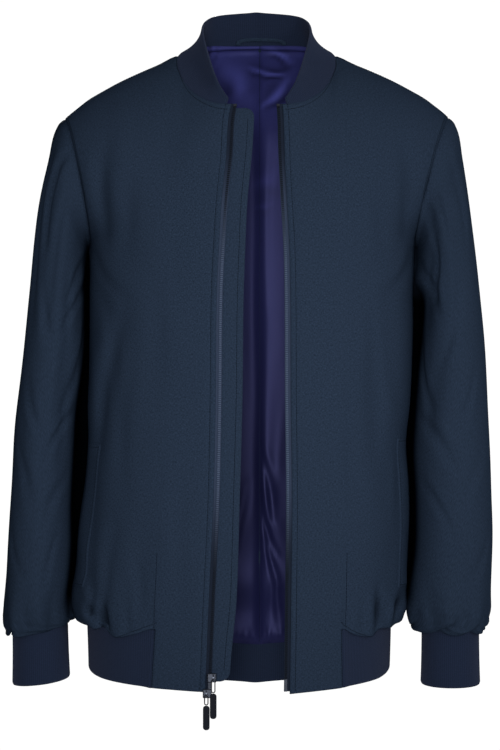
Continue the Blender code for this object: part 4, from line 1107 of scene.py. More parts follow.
def capsules(centres, along, out, long, thick, sides=5, rings=THREAD_RINGS):
    """Points and faces of one small round-ended rod at each centre, lying along its direction."""
    aside = np.cross(out, along)
    points, faces = [], []
    for share, wide in rings:
        for k in range(sides):
            a = 2 * math.pi * k / sides
            spoke = aside * math.cos(a) + out * math.sin(a)
            points.append(centres + along * long * share + spoke * thick * wide)
    points = np.stack(points, axis=1).reshape(-1, 3)
    one = len(rings) * sides
    for ring in range(len(rings) - 1):
        for k in range(sides):
            n = (k + 1) % sides
            faces.append((ring * sides + k, ring * sides + n, (ring + 1) * sides + n, (ring + 1) * sides + k))
    ends = [tuple(range(sides))[::-1], tuple(range(one - sides, one))]
    made = []
    for c in range(len(centres)):
        made += [tuple(i + c * one for i in face) for face in faces + ends]
    return points, made


def paced(line, pitch):
    """Even places along a line of points and outward directions: each one's centre, way along and way out."""
    points, normals = line
    steps = np.linalg.norm(np.diff(points, axis=0), axis=1)
    at = np.concatenate(([0.0], np.cumsum(steps)))
    count = max(2, int(at[-1] / pitch))
    want = (np.arange(count) + 0.5) * at[-1] / count
    centres, out = interpolated(want, at, points), interpolated(want, at, normals)
    along = interpolated(want + 0.5, at, points) - interpolated(want - 0.5, at, points)
    along /= np.linalg.norm(along, axis=1, keepdims=True)
    out -= along * (out * along).sum(axis=1, keepdims=True)
    out /= np.linalg.norm(out, axis=1, keepdims=True)
    return centres, along, out


STITCH_PITCH, STITCH_LONG, STITCH_THICK = 3.0, 2.5, 0.36


def stitched(name, lines):
    """The threads of topstitches along lines of points."""
    points, faces = [], []
    for line in lines:
        centres, along, out = paced(line, STITCH_PITCH)
        some, more = capsules(centres, along, out, STITCH_LONG, STITCH_THICK)
        faces += [tuple(i + sum(map(len, points)) for i in face) for face in more]
        points.append(some)
    return piece(name, np.concatenate(points), faces, "wool", finish=THREAD)


# Creases of the panels: from one point to another in x and z, bow, half width and depth.
FRONT_CREASES = {
    RIGHT: [
        (-168, -128, -170, -228, 4, 7, -2.2),
        (-150, -150, -146, -250, -5, 9, -1.3),
        (-186, -246, -150, -300, 6, 6, -1.8),
        (-188, -268, -168, -330, -4, 6, -1.4),
        (-153, -330, -178, -470, 5, 6, -2.0),
        (-138, -360, -150, -520, 6, 9, -1.2),
        (-112, -300, -124, -420, -6, 12, -0.9),
        (-180, -470, -186, -600, 4, 6, -1.4),
        (-160, -560, -168, -650, 4, 6, -1.6),
        (-134, -600, -130, -664, -3, 5, -1.5),
        (-173, -642, -168, -676, 2, 4.5, -4.6),
        (-194, -644, -182, -661, 2, 4.5, -4.0),
        (-190, -612, -186, -660, -2, 5, -2.0),
        (-146, -640, -141, -676, 1, 4, -1.6),
        (-118, -640, -117, -668, 1, 4, -1.0),
        (-82, -180, -88, -300, 6, 12, -0.7),
        (-78, -480, -84, -640, 5, 12, -0.8),
    ],
    LEFT: [
        (166, -128, 168, -225, -4, 7, -2.0),
        (146, -160, 142, -250, 5, 9, -1.2),
        (178, -246, 146, -296, -6, 6, -1.6),
        (128, -325, 132, -470, -5, 7, -1.8),
        (150, -300, 160, -420, 5, 8, -1.3),
        (108, -420, 112, -560, 5, 11, -0.9),
        (160, -470, 158, -590, -3, 6, -1.2),
        (137, -630, 134, -674, -2, 4.5, -4.2),
        (166, -638, 157, -666, 2, 4.5, -4.8),
        (150, -640, 147, -668, 2, 4, -1.6),
        (120, -640, 121, -672, 1, 4, -1.4),
        (100, -646, 100, -669, 1, 4, -1.2),
        (84, -180, 88, -300, -6, 12, -0.7),
        (72, -470, 76, -630, -5, 12, -0.8),
    ],
}
BACK_CREASES = [
    (-168, -140, -172, -232, 4, 7, -2.0),
    (165, -135, 168, -230, -4, 7, -2.0),
    (-185, -250, -128, -330, 8, 8, -1.8),
    (176, -248, 122, -322, -8, 8, -1.8),
    (-150, -320, -96, -460, 8, 10, -1.5),
    (140, -330, 92, -480, -9, 10, -1.5),
    (-70, -110, -96, -260, 6, 12, -1.2),
    (66, -112, 90, -280, -6, 12, -1.2),
    (-30, -60, -44, -150, 4, 9, -1.0),
    (28, -64, 40, -150, -4, 9, -1.0),
    (-188, -420, -140, -560, 9, 8, -1.5),
    (170, -410, 128, -570, -8, 8, -1.5),
    (-60, -420, -70, -620, 6, 13, -1.1),
    (50, -440, 62, -630, -6, 13, -1.1),
    (-6, -470, 4, -660, 5, 12, -0.9),
]
# Gathers of the back over the hem rib: place, height, half width and depth.
BACK_GATHERS = (
    (-176, 46, 4, 2.4), (-158, 58, 5, 2.0), (-139, 40, 4, 2.2), (-117, 52, 5, 2.4), (-98, 36, 4, 1.9),
    (-74, 60, 5, 2.4), (-52, 38, 4, 2.0), (-33, 50, 5, 2.3), (-9, 34, 4, 1.9), (14, 55, 5, 2.4),
    (36, 40, 4, 2.0), (57, 58, 5, 2.3), (79, 36, 4, 2.0), (99, 52, 5, 2.2), (122, 42, 4, 2.2),
    (143, 55, 5, 2.0), (160, 40, 4, 2.2),
)
# Creases of the sleeves: angle round the sleeve and height of each end, bow, half width and depth.
# The angle is 0 at the outer edge and 90 in front. These are the same on both sleeves, at the back.
REAR_CREASES = [
    (215, -270, 262, -330, 7, 7, -2.0),
    (208, -310, 250, -400, -6, 8, -1.6),
    (290, -250, 320, -400, 6, 9, -1.3),
    (215, -420, 268, -470, 7, 6, -2.2),
    (222, -450, 290, -505, -6, 6, -1.8),
    (232, -520, 280, -570, 6, 6, -1.7),
    (300, -480, 330, -580, 5, 8, -1.4),
]
SLEEVE_CREASES = {
    RIGHT: [
        (72, -128, 62, -180, 3, 5, -2.2),
        (62, -150, 66, -235, 3, 6, -2.6),
        (40, -130, 52, -330, 5, 9, -2.4),
        (88, -180, 84, -300, 3, 7, -1.8),
        (150, -255, 112, -300, 6, 6, -2.0),
        (158, -285, 100, -340, 7, 6, -1.8),
        (70, -290, 96, -360, 5, 7, -1.5),
        (150, -340, 120, -420, -5, 7, -1.6),
        (60, -400, 92, -455, 6, 6, -1.8),
        (142, -430, 92, -486, 7, 6, -2.0),
        (50, -470, 82, -540, -5, 7, -1.5),
        (132, -505, 96, -556, 6, 6, -1.6),
        (40, -560, 70, -612, 5, 6, -1.5),
        (118, -570, 104, -628, 4, 6, -1.5),
    ] + REAR_CREASES,
    LEFT: [
        (60, -140, 58, -235, 3, 7, -1.6),
        (96, -190, 92, -235, 3, 5, -1.6),
        (112, -235, 122, -300, 4, 5, -2.4),
        (150, -262, 112, -318, 6, 6, -2.0),
        (80, -290, 104, -370, 5, 7, -1.5),
        (150, -350, 118, -430, -5, 7, -1.7),
        (62, -390, 90, -448, 6, 6, -1.8),
        (140, -436, 90, -490, 7, 6, -2.0),
        (52, -480, 84, -548, -5, 7, -1.4),
        (132, -515, 96, -566, 6, 6, -1.6),
        (44, -575, 74, -622, 5, 6, -1.4),
    ] + REAR_CREASES,
}
# Gathers above the cuffs: angle, height, half width in mm and depth.
CUFF_FOLDS = {
    RIGHT: ((22, 46, 6.8, 4.0), (56, 20, 5.2, 1.2), (104, 22, 5.2, 1.4), (152, 36, 6, 2.2), (196, 30, 6, 2.0),
            (232, 44, 6, 2.8), (268, 30, 6, 2.4), (300, 42, 6, 2.8), (336, 30, 6, 2.4)),
    LEFT: ((10, 36, 6, 2.2), (40, 46, 6.5, 4.0), (70, 28, 5.5, 3.6), (120, 40, 6, 3.6), (150, 40, 6, 2.4),
           (180, 30, 6, 1.8), (222, 44, 6, 2.8), (262, 30, 6, 2.4), (298, 42, 6, 2.8), (332, 30, 6, 2.2)),
}
CELL, SLEEVE_CELL, BAND_CELL, COLLAR_CELL, LINING_CELL = 4.5, 3.5, 3.5, 3.0, 3.2    # sizes of the cells
FAR = 99.0                            # stands for the distance from a seam that a place doesn't have
SEWN_GAP = 0.1                        # between two sewn edges
SEWN_INTO = 0.8                       # how far a sleeve or the collar reaches into its seam
ZIP_STITCH, SEAM_STITCH, HEM_STITCH, NECK_STITCH, GUARD_STITCH = 5.9, 5.5, 7.0, 7.0, 7.0
ARMHOLE_STITCH, ARMHOLE_STITCH_TO = 5.5, -190.0    # distance from the seam, and the height it runs down to
FOLD_DEEPER = 1.25                    # every crease's depth is this many times the listed one
FOLD_CLEAR, SLEEVE_CLEAR = 6.0, 8.0   # the creases die out over this distance from a body seam and an armhole
SEAM_GROOVE, GUARD_GROOVE = 0.2, 0.3  # depth of the groove at the topstitches of a seam and of the guard
# Painted shadow inside a deep crease: the depth at which it begins, the depth it takes to grow, and its limit.
CAVITY_FROM, CAVITY_OVER, CAVITY_MOST = 1.8, 5, 0.62
GATHER_EASE = 1.2                     # how a gathered seam's folds die out upwards
GATHER_SWELL = (0.4, 2.1, 1.1)        # height, place and width of the swells on both sides of each
CORE_FROM = 0.7                       # the back's inner side follows folds deeper than this part of a wall


def painted_crease_shadow(push):
    """Painted shadow inside a deep crease: how dark it is there."""
    return np.clip(-(push + CAVITY_FROM) / CAVITY_OVER, 0, CAVITY_MOST)


def gathers(u, above, rows):
    """Short upright folds over a gathered seam."""
    push = np.zeros(np.broadcast(u, above).shape)
    swell, beside, across = GATHER_SWELL
    for at, high, wide, deep in rows:
        off = (u - at) / wide
        fade = np.clip(1 - above / high, 0, 1) ** GATHER_EASE
        push -= deep * fade * (np.exp(-off ** 2) - swell * np.exp(-((np.abs(off) - beside) / across) ** 2))
    return push


def pulled(grid, row, inner, gap):
    """Move one row of a grid a gap's width towards another."""
    way = grid[inner] - grid[row]
    grid[row] += way / np.linalg.norm(way, axis=-1, keepdims=True) * gap


# How far the roll over the hem rib hangs below its seam, by the distance from the middle plane.
FRONT_SAG = {
    RIGHT: ((107, 0), (120, 3), (135, 6), (157, 9.5), (165, 7), (170, 1.5), (174, 0), (185, 2), (192, 0)),
    LEFT: ((92, 1), (105, 6), (120, 8.5), (131, 8), (138, 1.5), (142, 0.5), (153, 3), (160, 0)),
}


def front_points(side):
    """A front's fine points on its block, how many rows the block has, and the column of the rib's end."""
    shares = front_shares(side)
    end = FRONT_COLUMNS[0]
    main = grid_of(front_grid(side))
    block = grid_of([[front_point(side, h, v) for h in shares[:end + 1]] for v in (-2, -1, 0)])
    pulled(main.transpose(1, 0, 2), -1, -2, SEWN_GAP)
    pulled(main, -1, -2, SEWN_GAP)
    at = chords(main, 1)
    near = spread(at[end], CELL, STITCHED_EDGE, STITCHED_EDGE)
    want = np.concatenate((near, at[end] + spread(at[-1] - at[end], CELL)[1:]))
    low, high = chords(block, 0), chords(main, 0)
    block = through(block, low, spread(low[-1], CELL), 0)[:-1]
    main = through(main, high, spread(high[-1], CELL, ROLLED_EDGE, STITCHED_EDGE), 0)
    block = through(block, at[:end + 1], near, 1)
    main = through(main, at, want, 1)
    spare = np.repeat(main[:1, len(near):], len(block), axis=0)
    return np.concatenate((np.concatenate((block, spare), axis=1), main)), len(block), len(near) - 1


def make_front_cloth(side):
    """A front on its block. Returns its plain cloth, the dressed one, how many rows the block has, the column
    of the rib's end, and the painted shadow in the creases."""
    points, foot, corner = front_points(side)
    keep = np.ones((len(points) - 1, points.shape[1] - 1), bool)
    keep[:foot, corner:] = False
    plain = Cloth(points, axis_at(points), keep=keep)
    x, z, left, top = points[..., 0], points[..., 2], plain.left(), plain.top()
    beside = plain.right()
    beside[:foot] = left[:foot, corner:corner + 1] - left[:foot]
    in_block = np.arange(len(points))[:, None] < foot
    past_end = np.arange(points.shape[1])[None] > corner
    side_seam = np.where(in_block, FAR, plain.right())
    over_rib = np.where(past_end, plain.up - plain.up[foot], FAR)
    bottom = np.where(past_end, FAR, plain.up)
    clear = fading(left, side_seam, over_rib, top, over=FOLD_CLEAR)
    push = creased(x, z, FRONT_CREASES[side]) * FOLD_DEEPER * clear
    # painted shadow, darker inside the deep creases
    shadow = painted_crease_shadow(push)
    push = push + rippled(points, "front", side) * fading(left, side_seam, top)
    push = push + turned(left, top, side_seam, over_rib, bottom)
    push = push + np.where(in_block, turned(np.maximum(beside, 0)), 0)
    push = push + sunk(left, ZIP_STITCH) + sunk(top, SEAM_STITCH, SEAM_GROOVE)
    dressed = plain.pushed(push)
    hang = np.interp(side * x, *zip(*FRONT_SAG[side]))
    dressed.points[..., 2] -= np.where(in_block | (left < left[foot, corner]), 0, sagging(over_rib, hang))
    return plain, dressed, foot, corner, shadow


def make_front_piece(side):
    """A front with its topstitches. Returns its plain cloth, the dressed one and the rows of its block."""
    word = side_name(side)
    plain, cloth, foot, corner, shadow = make_front_cloth(side)
    sewn(f"cloth_front_{word}", cloth, "wool", CLOTH, [f"front_{word}"], shadow=shadow)
    last, columns = len(cloth.points) - 1, cloth.points.shape[1] - 1
    above = cloth.up - cloth.up[foot]
    inset = cloth.left()[:, corner].mean() - HEM_STITCH
    rise = int(np.searchsorted(above[:, corner], HEM_STITCH))
    armhole = np.nonzero(cloth.points[:, -1, 2] > ARMHOLE_STITCH_TO)[0]
    stitched(f"stitch_front_{word}", [
        cloth.upright(3, last - 3, ZIP_STITCH),
        cloth.upright(1, foot + rise, inset),
        cloth.level(corner - 3, columns - 1, HEM_STITCH, above),
        cloth.level(2, columns - 3, -NECK_STITCH, -cloth.top()),
        cloth.upright(armhole[0], armhole[-1] - 1, -ARMHOLE_STITCH, -cloth.right()),
    ])
    return plain, cloth, foot


def make_back_cloth():
    grid = grid_of(back_grid())
    columns = grid.transpose(1, 0, 2)
    pulled(columns, 0, 1, SEWN_GAP)
    pulled(columns, -1, -2, SEWN_GAP)
    pulled(grid, -1, -2, SEWN_GAP)
    grid = fine(grid, lambda long: spread(long, CELL, ROLLED_EDGE, STITCHED_EDGE),
                lambda long: spread(long, CELL, ROLLED_EDGE[:4], EDGE))
    plain = Cloth(grid, axis_at(grid))
    x, z, left, right, top = grid[..., 0], grid[..., 2], plain.left(), plain.right(), plain.top()
    push = creased(x, z, BACK_CREASES) * FOLD_DEEPER * fading(left, right, plain.up, top, over=FOLD_CLEAR)
    push = push + gathers(x, plain.up, BACK_GATHERS) * fading(left, right, over=FOLD_CLEAR)
    push = push + rippled(grid, "back") * fading(left, right, top) + turned(left, right, top, plain.up)
    push = push + sunk(top, SEAM_STITCH, SEAM_GROOVE)
    cloth = plain.pushed(push)
    core = plain.pushed(np.minimum(push + CORE_FROM * CLOTH, 0))
    sewn("cloth_back", cloth, "wool", CLOTH, ["back"], core=core)
    last = grid.shape[1] - 3
    stitched("stitch_back", [
        cloth.level(2, last, -SEAM_STITCH, -cloth.top()),
        cloth.level(2, last, HEM_STITCH),
    ])


# Fuller places of the sleeves: height, reach along, angle, reach in degrees, and how far they stand out.
SLEEVE_SWELLS = {
    RIGHT: [
        (-248, 14, 180, 30, 3.2),
        (-584, 34, 180, 40, 2.6),
        (-634, 24, 196, 42, 3.5),
        (-676, 30, 196, 40, 11.0),
    ],
    LEFT: [
        (-248, 14, 180, 30, 3.2),
        (-278, 16, 166, 34, 8.5),
        (-630, 26, 172, 45, 4.5),
        (-668, 30, 172, 45, 13.5),
        (-678, 18, 0, 45, -4.5),
    ],
}
# Drop of the roll over the cuff at its outer and inner edge, and how much more in front.
SLEEVE_SAG = {RIGHT: (7.5, 1.0, 3.4), LEFT: (7.5, 5.0, 1.2)}
SHADE, OUTER_SHADE = 0.95, 0.42       # painted shadow between sleeve and body, and painted shade on the right sleeve's outer edge
SHADE_TURN = (138, 162, 240, 275)     # angles over which the first begins and ends
SHADE_LOW, SHADE_HIGH = (-665, -635), {RIGHT: (-255, -225), LEFT: (-305, -275)}    # and the heights
OUTER_TURN = (12, 50)                 # angles off the outer edge over which the second ends
CREASE_DEGREE = 1.3                   # millimetres round the sleeve for one degree in its table of creases
INNER_CALM = 35.0                     # degrees on both sides of the inner edge over which the folds die out
NOTCH_FROM, NOTCH_DEEP = 3.0, 5.0     # folds deeper than the first draw the roll up, and the second wholly
NOTCH_MOST = 0.9                      # they draw it up by this share of its drop at most
CUFF_FOLD_FROM = (1, 9)               # distances from the cuff over which its folds and the swells set in
SWELL_FROM = (-1, 4.5)
SMOOTH_TIMES, SMOOTH_SHARE = 4, 0.5   # evening out of the roll over the cuff
SMOOTH_AT_CUFF, SMOOTH_HIGH = 1.5, 16    # it takes its full share near the cuff, and dies out above
SAG_HIGH, SAG_OVER = 6, 16            # the roll over a rib hangs fully up to this height, and less above it
SAG_AT_SEAM, SAG_GROWS = 0.45, 4      # and right at the seam it hangs by this share, growing over this height


def sagging(above, drop):
    """How far the roll over a rib hangs below its seam: full near it, and fading out above."""
    near = np.exp(-(np.maximum(above - SAG_HIGH, 0) / SAG_OVER) ** 2)
    return drop * near * (SAG_AT_SEAM + (1 - SAG_AT_SEAM) * eased(above, 0, SAG_GROWS))


def sleeve_relief(side, cloth, turn):
    """How far the creases and folds move a sleeve's cloth, and how far its roll is drawn up at each place."""
    z, bottom = cloth.points[..., 2], cloth.top()
    girth = cloth.across[:, -1:] / 360
    push, lift = np.zeros_like(z), np.zeros_like(z)
    folds = [(a * girth.mean(), high, wide, deep) for a, high, wide, deep in CUFF_FOLDS[side]]
    for lap in (-360, 0, 360):
        rows = [((a0 + lap) * CREASE_DEGREE, z0, (a1 + lap) * CREASE_DEGREE, z1, bow, wide, deep)
                for a0, z0, a1, z1, bow, wide, deep in SLEEVE_CREASES[side]]
        push = push + creased(turn * CREASE_DEGREE, z, rows)
        place = (turn + lap) * girth
        push = push + gathers(place, bottom, folds) * eased(bottom, *CUFF_FOLD_FROM)
        for at, high, wide, deep in folds:
            if deep > NOTCH_FROM:
                lift = np.maximum(lift, deep / NOTCH_DEEP * np.exp(-((place - at) / wide) ** 2))
    push = FOLD_DEEPER * push * fading(cloth.up, over=SLEEVE_CLEAR)
    push = push + rippled(cloth.points, "sleeve", side) * fading(cloth.up, bottom) + turned(cloth.up, bottom)
    inner = np.clip(1 - np.abs(turn - 180) / INNER_CALM, 0, 1)
    push = np.where(push > 0, push * (1 - inner), push)
    for at, reach, middle, wide, full in SLEEVE_SWELLS[side]:
        off = ((turn - middle + 180) % 360 - 180) / wide
        push = push + full * np.exp(-((z - at) / reach) ** 2 - off ** 2) * eased(bottom, *SWELL_FROM)
    return push, lift


def painted_sleeve_shadow(side, turn, z):
    """Painted shadow on a sleeve: dark between itself and the body, and on the right one along its outer edge.
    """
    shadow = SHADE * eased(turn, *SHADE_TURN[:2]) * (1 - eased(turn, *SHADE_TURN[2:]))
    shadow = shadow * (1 - eased(z, *SHADE_HIGH[side])) * eased(z, *SHADE_LOW)
    if side == LEFT:
        return shadow
    off = np.abs((turn + 180) % 360 - 180)
    return np.maximum(shadow, OUTER_SHADE * (1 - eased(off, *OUTER_TURN)))


def make_sleeve_cloth(side):
    word = side_name(side)
    ring_numbers = range(SLEEVE_LAST + 1)
    grid = grid_of([[sleeve_point(side, ring, phi) for phi in RING_ANGLES] for ring in ring_numbers])
    rings = grid_of([[ring_point(side, ring, phi) for phi in RING_ANGLES] for ring in ring_numbers])
    pulled(grid, 0, 1, -SEWN_INTO)
    down = chords(grid, 0)
    want = spread(down[-1], CELL, STITCHED_EDGE, ROLLED_EDGE)
    grid = around(through(grid, down, want, 0), SLEEVE_CELL)
    middles = through(rings.mean(axis=1, keepdims=True), down, want, 0)
    cloth = Cloth(grid, middles, closed=True)
    turn = np.linspace(0, 360, grid.shape[1], endpoint=False)[None] + 0 * grid[..., 0]
    push, lift = sleeve_relief(side, cloth, turn)
    bottom, about = cloth.top(), np.radians(turn)
    cloth = cloth.pushed(push)
    outer, inner, front = SLEEVE_SAG[side]
    hang = (outer + inner) / 2 + (outer - inner) / 2 * np.cos(about) + front * np.sin(about)
    cloth.points[..., 2] -= sagging(bottom, hang * (1 - np.clip(lift, 0, NOTCH_MOST)))
    near = SMOOTH_SHARE * np.clip(SMOOTH_AT_CUFF - bottom / SMOOTH_HIGH, 0, 1)[..., None]
    for _ in range(SMOOTH_TIMES):
        beside = (np.roll(cloth.points, 1, axis=1) + np.roll(cloth.points, -1, axis=1)) / 2
        cloth.points += (beside - cloth.points) * near
    # painted shadow between sleeve and body, and along the right sleeve's outer edge
    shadow = painted_sleeve_shadow(side, turn, grid[..., 2])
    sewn(f"cloth_sleeve_{word}", cloth, "wool", CLOTH, [f"sleeve_{word}"], shadow=shadow)


def ribs(cloth, deep):
    """Even ribs across a cloth whose columns are a quarter of a rib apart."""
    return deep * np.cos(np.arange(cloth.points.shape[1]) * math.pi / 2)[None] - deep


def rib_columns(total):
    """Places along a length, four to each rib."""
    return np.linspace(0, total, round(total / RIB_PITCH) * 4 + 1)


def rib_grain(cloth):
    """Rib count across, as millimetres at the rib's pitch."""
    return np.arange(cloth.across.shape[1])[None] * RIB_PITCH / 4


CUFF_FLARE = 1.3                      # how much the cuffs widen downwards
CUFF_HANG = {RIGHT: (1.2, 3.4), LEFT: (0.0, 0.0)}    # how far their free edge is moved across and down


def make_cuff_cloth(side):
    word = side_name(side)
    grid = grid_of([[cuff_point(side, low, phi) for phi in RING_ANGLES] for low in BAND_ROWS])
    down = chords(grid, 0)
    grid = through(grid, down, spread(down[-1], BAND_CELL), 0)
    girth = chords(np.concatenate((grid, grid[:, :1]), axis=1), 1)[-1]
    grid = around(grid, girth / (round(girth / RIB_PITCH) * 4))
    cloth = Cloth(grid, grid.mean(axis=1, keepdims=True), closed=True)
    low = cloth.up / cloth.up[-1]
    ribbed = cloth.pushed(ribs(cloth, BAND_DEEP) + turned(cloth.up, cloth.top()) + CUFF_FLARE * low ** 2)
    shift, drop = CUFF_HANG[side]
    ribbed.points[..., 0] += shift * low
    ribbed.points[..., 2] -= drop * low
    sewn(f"cloth_cuff_{word}", ribbed, "rib", RIB, [f"cuff_{word}"], rib_grain(cloth), cloth)


def hem_path():
    """Face, side and share of each column of the hem rib, from one front round the back to the other."""
    path = []
    for side in (RIGHT, LEFT):
        start = rib_end_share(side)
        shares = front_shares(side)[FRONT_COLUMNS[0]:]
        run = [(FRONT, side, mix(start, 1, (h - shares[0]) / (1 - shares[0]))) for h in shares]
        run += [(BACK, side, s) for s in back_half()[-2::-1]]
        path.append(run)
    return path[0] + [(BACK, LEFT, 0.0)] + path[1][::-1]


def make_hem_cloth():
    grid = grid_of([[hem_point(face, side, share, low) for face, side, share in hem_path()]
                    for low in BAND_ROWS[::-1]])
    for j, side in ((0, RIGHT), (-1, LEFT)):
        for row in grid[:, j]:
            beside = front_low(side, block_share(RIB_END[side], row[2]), row[2])
            row[:2] = beside.x + side * RIB_SEAM, beside.y
    grid = fine(grid, lambda long: spread(long, BAND_CELL), rib_columns)
    cloth = Cloth(grid, axis_at(grid))
    ribbed = cloth.pushed(ribs(cloth, BAND_DEEP) + rippled(grid, "hem")
                          + turned(cloth.up, cloth.top(), cloth.left(), cloth.right()))
    sewn("cloth_hem_rib", ribbed, "rib", RIB, ["hem_rib"], rib_grain(cloth), cloth)


COLLAR_TURNS, COLLAR_RISES = 33, 9    # points of half the collar round the neck, and upwards
COLLAR_MIDDLE = (0, 10, 0)            # the collar faces away from an upright line through this point


def make_collar_cloth():
    turns = np.linspace(COLLAR_START, 1, COLLAR_TURNS)
    rises = np.linspace(0, 1, COLLAR_RISES)
    path = [(RIGHT, t) for t in turns[:-1]] + [(LEFT, t) for t in turns[::-1]]
    grid = grid_of([[collar_point(side, t, rise) for side, t in path] for rise in rises])
    pulled(grid, 0, 1, -SEWN_INTO)
    grid = fine(grid, lambda long: spread(long, COLLAR_CELL), rib_columns)
    cloth = Cloth(grid, COLLAR_MIDDLE + grid * (0, 0, 1))
    edges = turned(cloth.up, cloth.top(), cloth.left(), cloth.right())
    ribbed = cloth.pushed(ribs(cloth, COLLAR_DEEP) + edges)
    sewn("cloth_collar", ribbed, "rib", RIB, ["collar"], rib_grain(cloth), cloth)


LINING_CREASES = {
    RIGHT: [
        (-34, -12, -52, -60, 3, 4, -1.4),
        (-42, -10, -64, -44, 3, 3, -1.2),
        (-20, -20, -30, -90, 3, 5, -1.0),
        (-30, -80, -36, -260, 8, 9, -1.4),
        (-10, -120, -14, -420, 5, 8, -0.8),
        (-70, -120, -60, -380, 8, 14, -1.5),
        (-55, -400, -40, -620, 7, 12, -1.4),
        (-95, -300, -80, -560, 9, 14, -1.4),
        (-12, -520, -24, -600, 2, 5, -1.2),
        (-30, -610, -34, -690, 1, 4, -1.6),
    ],
    LEFT: [
        (20, -16, 12, -60, 3, 5, -1.0),
        (30, -30, 10, -80, 4, 6, -1.6),
        (44, -24, 36, -90, 4, 6, -1.0),
        (24, -120, 20, -300, 5, 8, -1.0),
        (60, -110, 50, -400, 8, 14, -1.5),
        (40, -380, 24, -620, 8, 12, -1.4),
        (86, -300, 70, -560, 9, 14, -1.4),
        (4, -478, 20, -560, -3, 4, -2.2),
        (2, -530, 24, -602, 3, 4, -2.4),
        (10, -570, 27, -640, 2, 4, -2.0),
        (24, -636, 30, -690, 1, 4, -1.6),
    ],
}
# Painted highlights on the satin, and painted shade in a gather: from one point to another, bow, half width
# and strength.
LINING_PAINTED_SHINE = (
    (-8, -24, 8, -29, 0.5, 2.2, 0.9),
    (6, -29, 31, -31.5, 0.8, 2.3, 1.7),
    (18, -6, 40, -17, -1.5, 3.0, 1.2),
    (10, -65, 35, -40, 3, 3.6, 1.5),
    (-40, -24, -12, -54, -5, 9, 0.55),
    (-18, -40, -22, -62, 2, 8, 0.5),
    (2, -158, 22, -148, 2, 8, 0.35),
    (2, -186, 16, -184, 1, 3, 0.3),
    (-54, 1, -57, -15, 0.5, 1.8, -0.8),
    (-45, -1, -47, -13, 0.5, 1.8, -0.6),
    (-63, -4, -66, -18, 0.5, 2.2, -0.7),
    (10, -28, 44, -22, 2, 4, -0.25),
)
# Gathers of the lining over its roll at the hem: place, height, half width and depth.
LINING_GATHERS = (
    (-92, 34, 4, -2.2), (-70, 26, 4, -2.0), (-44, 34, 5, -2.2), (-27, 22, 3, -1.6), (-12, 28, 4, -1.8),
    (1, 18, 3, -2.2), (8, 22, 2.5, -2.8), (15, 26, 3, -2.6), (24, 20, 3, -2.0), (36, 30, 4, -2.2),
    (58, 26, 4, -2.0), (80, 34, 5, -2.2),
)
# The lining's padded top edge over the collar seam: rise over the lining's top, and reach off its inside.
LINING_PIPING = ((-0.2, 1.6), (1.6, 2.6), (3.4, 2.2), (4.4, 0.8), (4.2, -1.2))
LINING_BLOUSE, BLOUSE_MORE = 0.7, 1.2    # how far the lining stands out, and how much more below that edge
PIPING_HIGH, PIPING_FADE = 8.0, 12.0  # height of the edge, and the distance over which the second sets in
LINING_CLEAR = 5.0                    # the lining's folds die out over this distance from its seams
INTO_BACK = (0, 50, 0)                # it faces away from the back behind it
PUSH_LEAST, PUSH_MOST = -0.6, 3.5     # limits of the lining's relief, between the back and the rib
# Painted shadow inside the jacket, darker downwards: how much it grows, and between which depths under the
# neck.
LINING_SHADE = ((0.36, 70, 200), (0.34, 200, 520), (-0.1, 560, 660))
SHADOW_LEAST, SHADOW_MOST = -2.5, 0.9    # a negative shadow is a painted highlight


def lining_grid(side):
    """The points of half the lining: its roll at the hem, what follows the back, and its padded edge."""
    picked = [(j, s) for j, s in enumerate(back_shares()) if s * side >= 0 and abs(s) < LINING_REACH]
    first, chest = len(ROLL) + 1, len(ROLL) + len(BODY_ROWS)
    steps = list(range(first, chest - 1, 2)) + list(range(chest - 1, PANEL_ROWS - 1))
    whole = back_grid()
    outer = grid_of([[whole[v][j] for j, s in picked] for v in steps])
    inward = np.cross(np.gradient(outer, axis=1), np.gradient(outer, axis=0))
    inward /= np.linalg.norm(inward, axis=2, keepdims=True)
    to_axis = axis_at(outer) - outer
    inward *= np.where((inward * to_axis).sum(axis=2, keepdims=True) < 0, -1, 1)
    inner = outer + inward * (CLOTH + LINING_GAP)
    seam = [hem_point(BACK, side, abs(s), 0) for j, s in picked]
    roll = grid_of([[(p.x * LINING_NARROW, p.y - RIB - off, p.z + rise) for p in seam]
                    for rise, off in LINING_ROLL])
    level = inward[-1] * (1, 1, 0)
    level /= np.linalg.norm(level, axis=1, keepdims=True)
    piping = np.array([inner[-1] + level * off + (0, 0, rise) for rise, off in LINING_PIPING])
    grid = np.concatenate((roll, inner, piping))
    grid[:, 0 if side == LEFT else -1, 0] = PLEAT_SHIFT + side * SEAM / 2
    return grid


def make_lining_cloth(side):
    word = side_name(side)
    grid = fine(lining_grid(side), lambda long: spread(long, LINING_CELL, ROLLED_EDGE, ROLLED_EDGE),
                lambda long: spread(long, LINING_CELL))
    cloth = Cloth(grid, grid + INTO_BACK)
    x, z = grid[..., 0], grid[..., 2]
    centre = cloth.left() if side == LEFT else cloth.right()
    push = creased(x, z, LINING_CREASES[side]) + rippled(grid, "lining", side)
    push = push + LINING_BLOUSE + BLOUSE_MORE * fading(cloth.top() - PIPING_HIGH, over=PIPING_FADE)
    push = push + gathers(x, cloth.up, LINING_GATHERS)
    push = push * fading(cloth.left(), cloth.right(), cloth.up, over=LINING_CLEAR)
    push = push + turned(cloth.top(), centre, cloth.up)
    cloth = cloth.pushed(np.clip(push, PUSH_LEAST, PUSH_MOST))
    # painted shadow that deepens down inside the jacket, with painted highlights on the satin and painted
    # shade in its gathers
    shadow = sum(more * eased(-z, start, end) for more, start, end in LINING_SHADE)
    shadow = np.clip(shadow - creased(x, z, LINING_PAINTED_SHINE), SHADOW_LEAST, SHADOW_MOST)
    sewn(f"cloth_lining_{word}", cloth, "satin", LINING, [f"lining_{word}"], shadow=shadow)


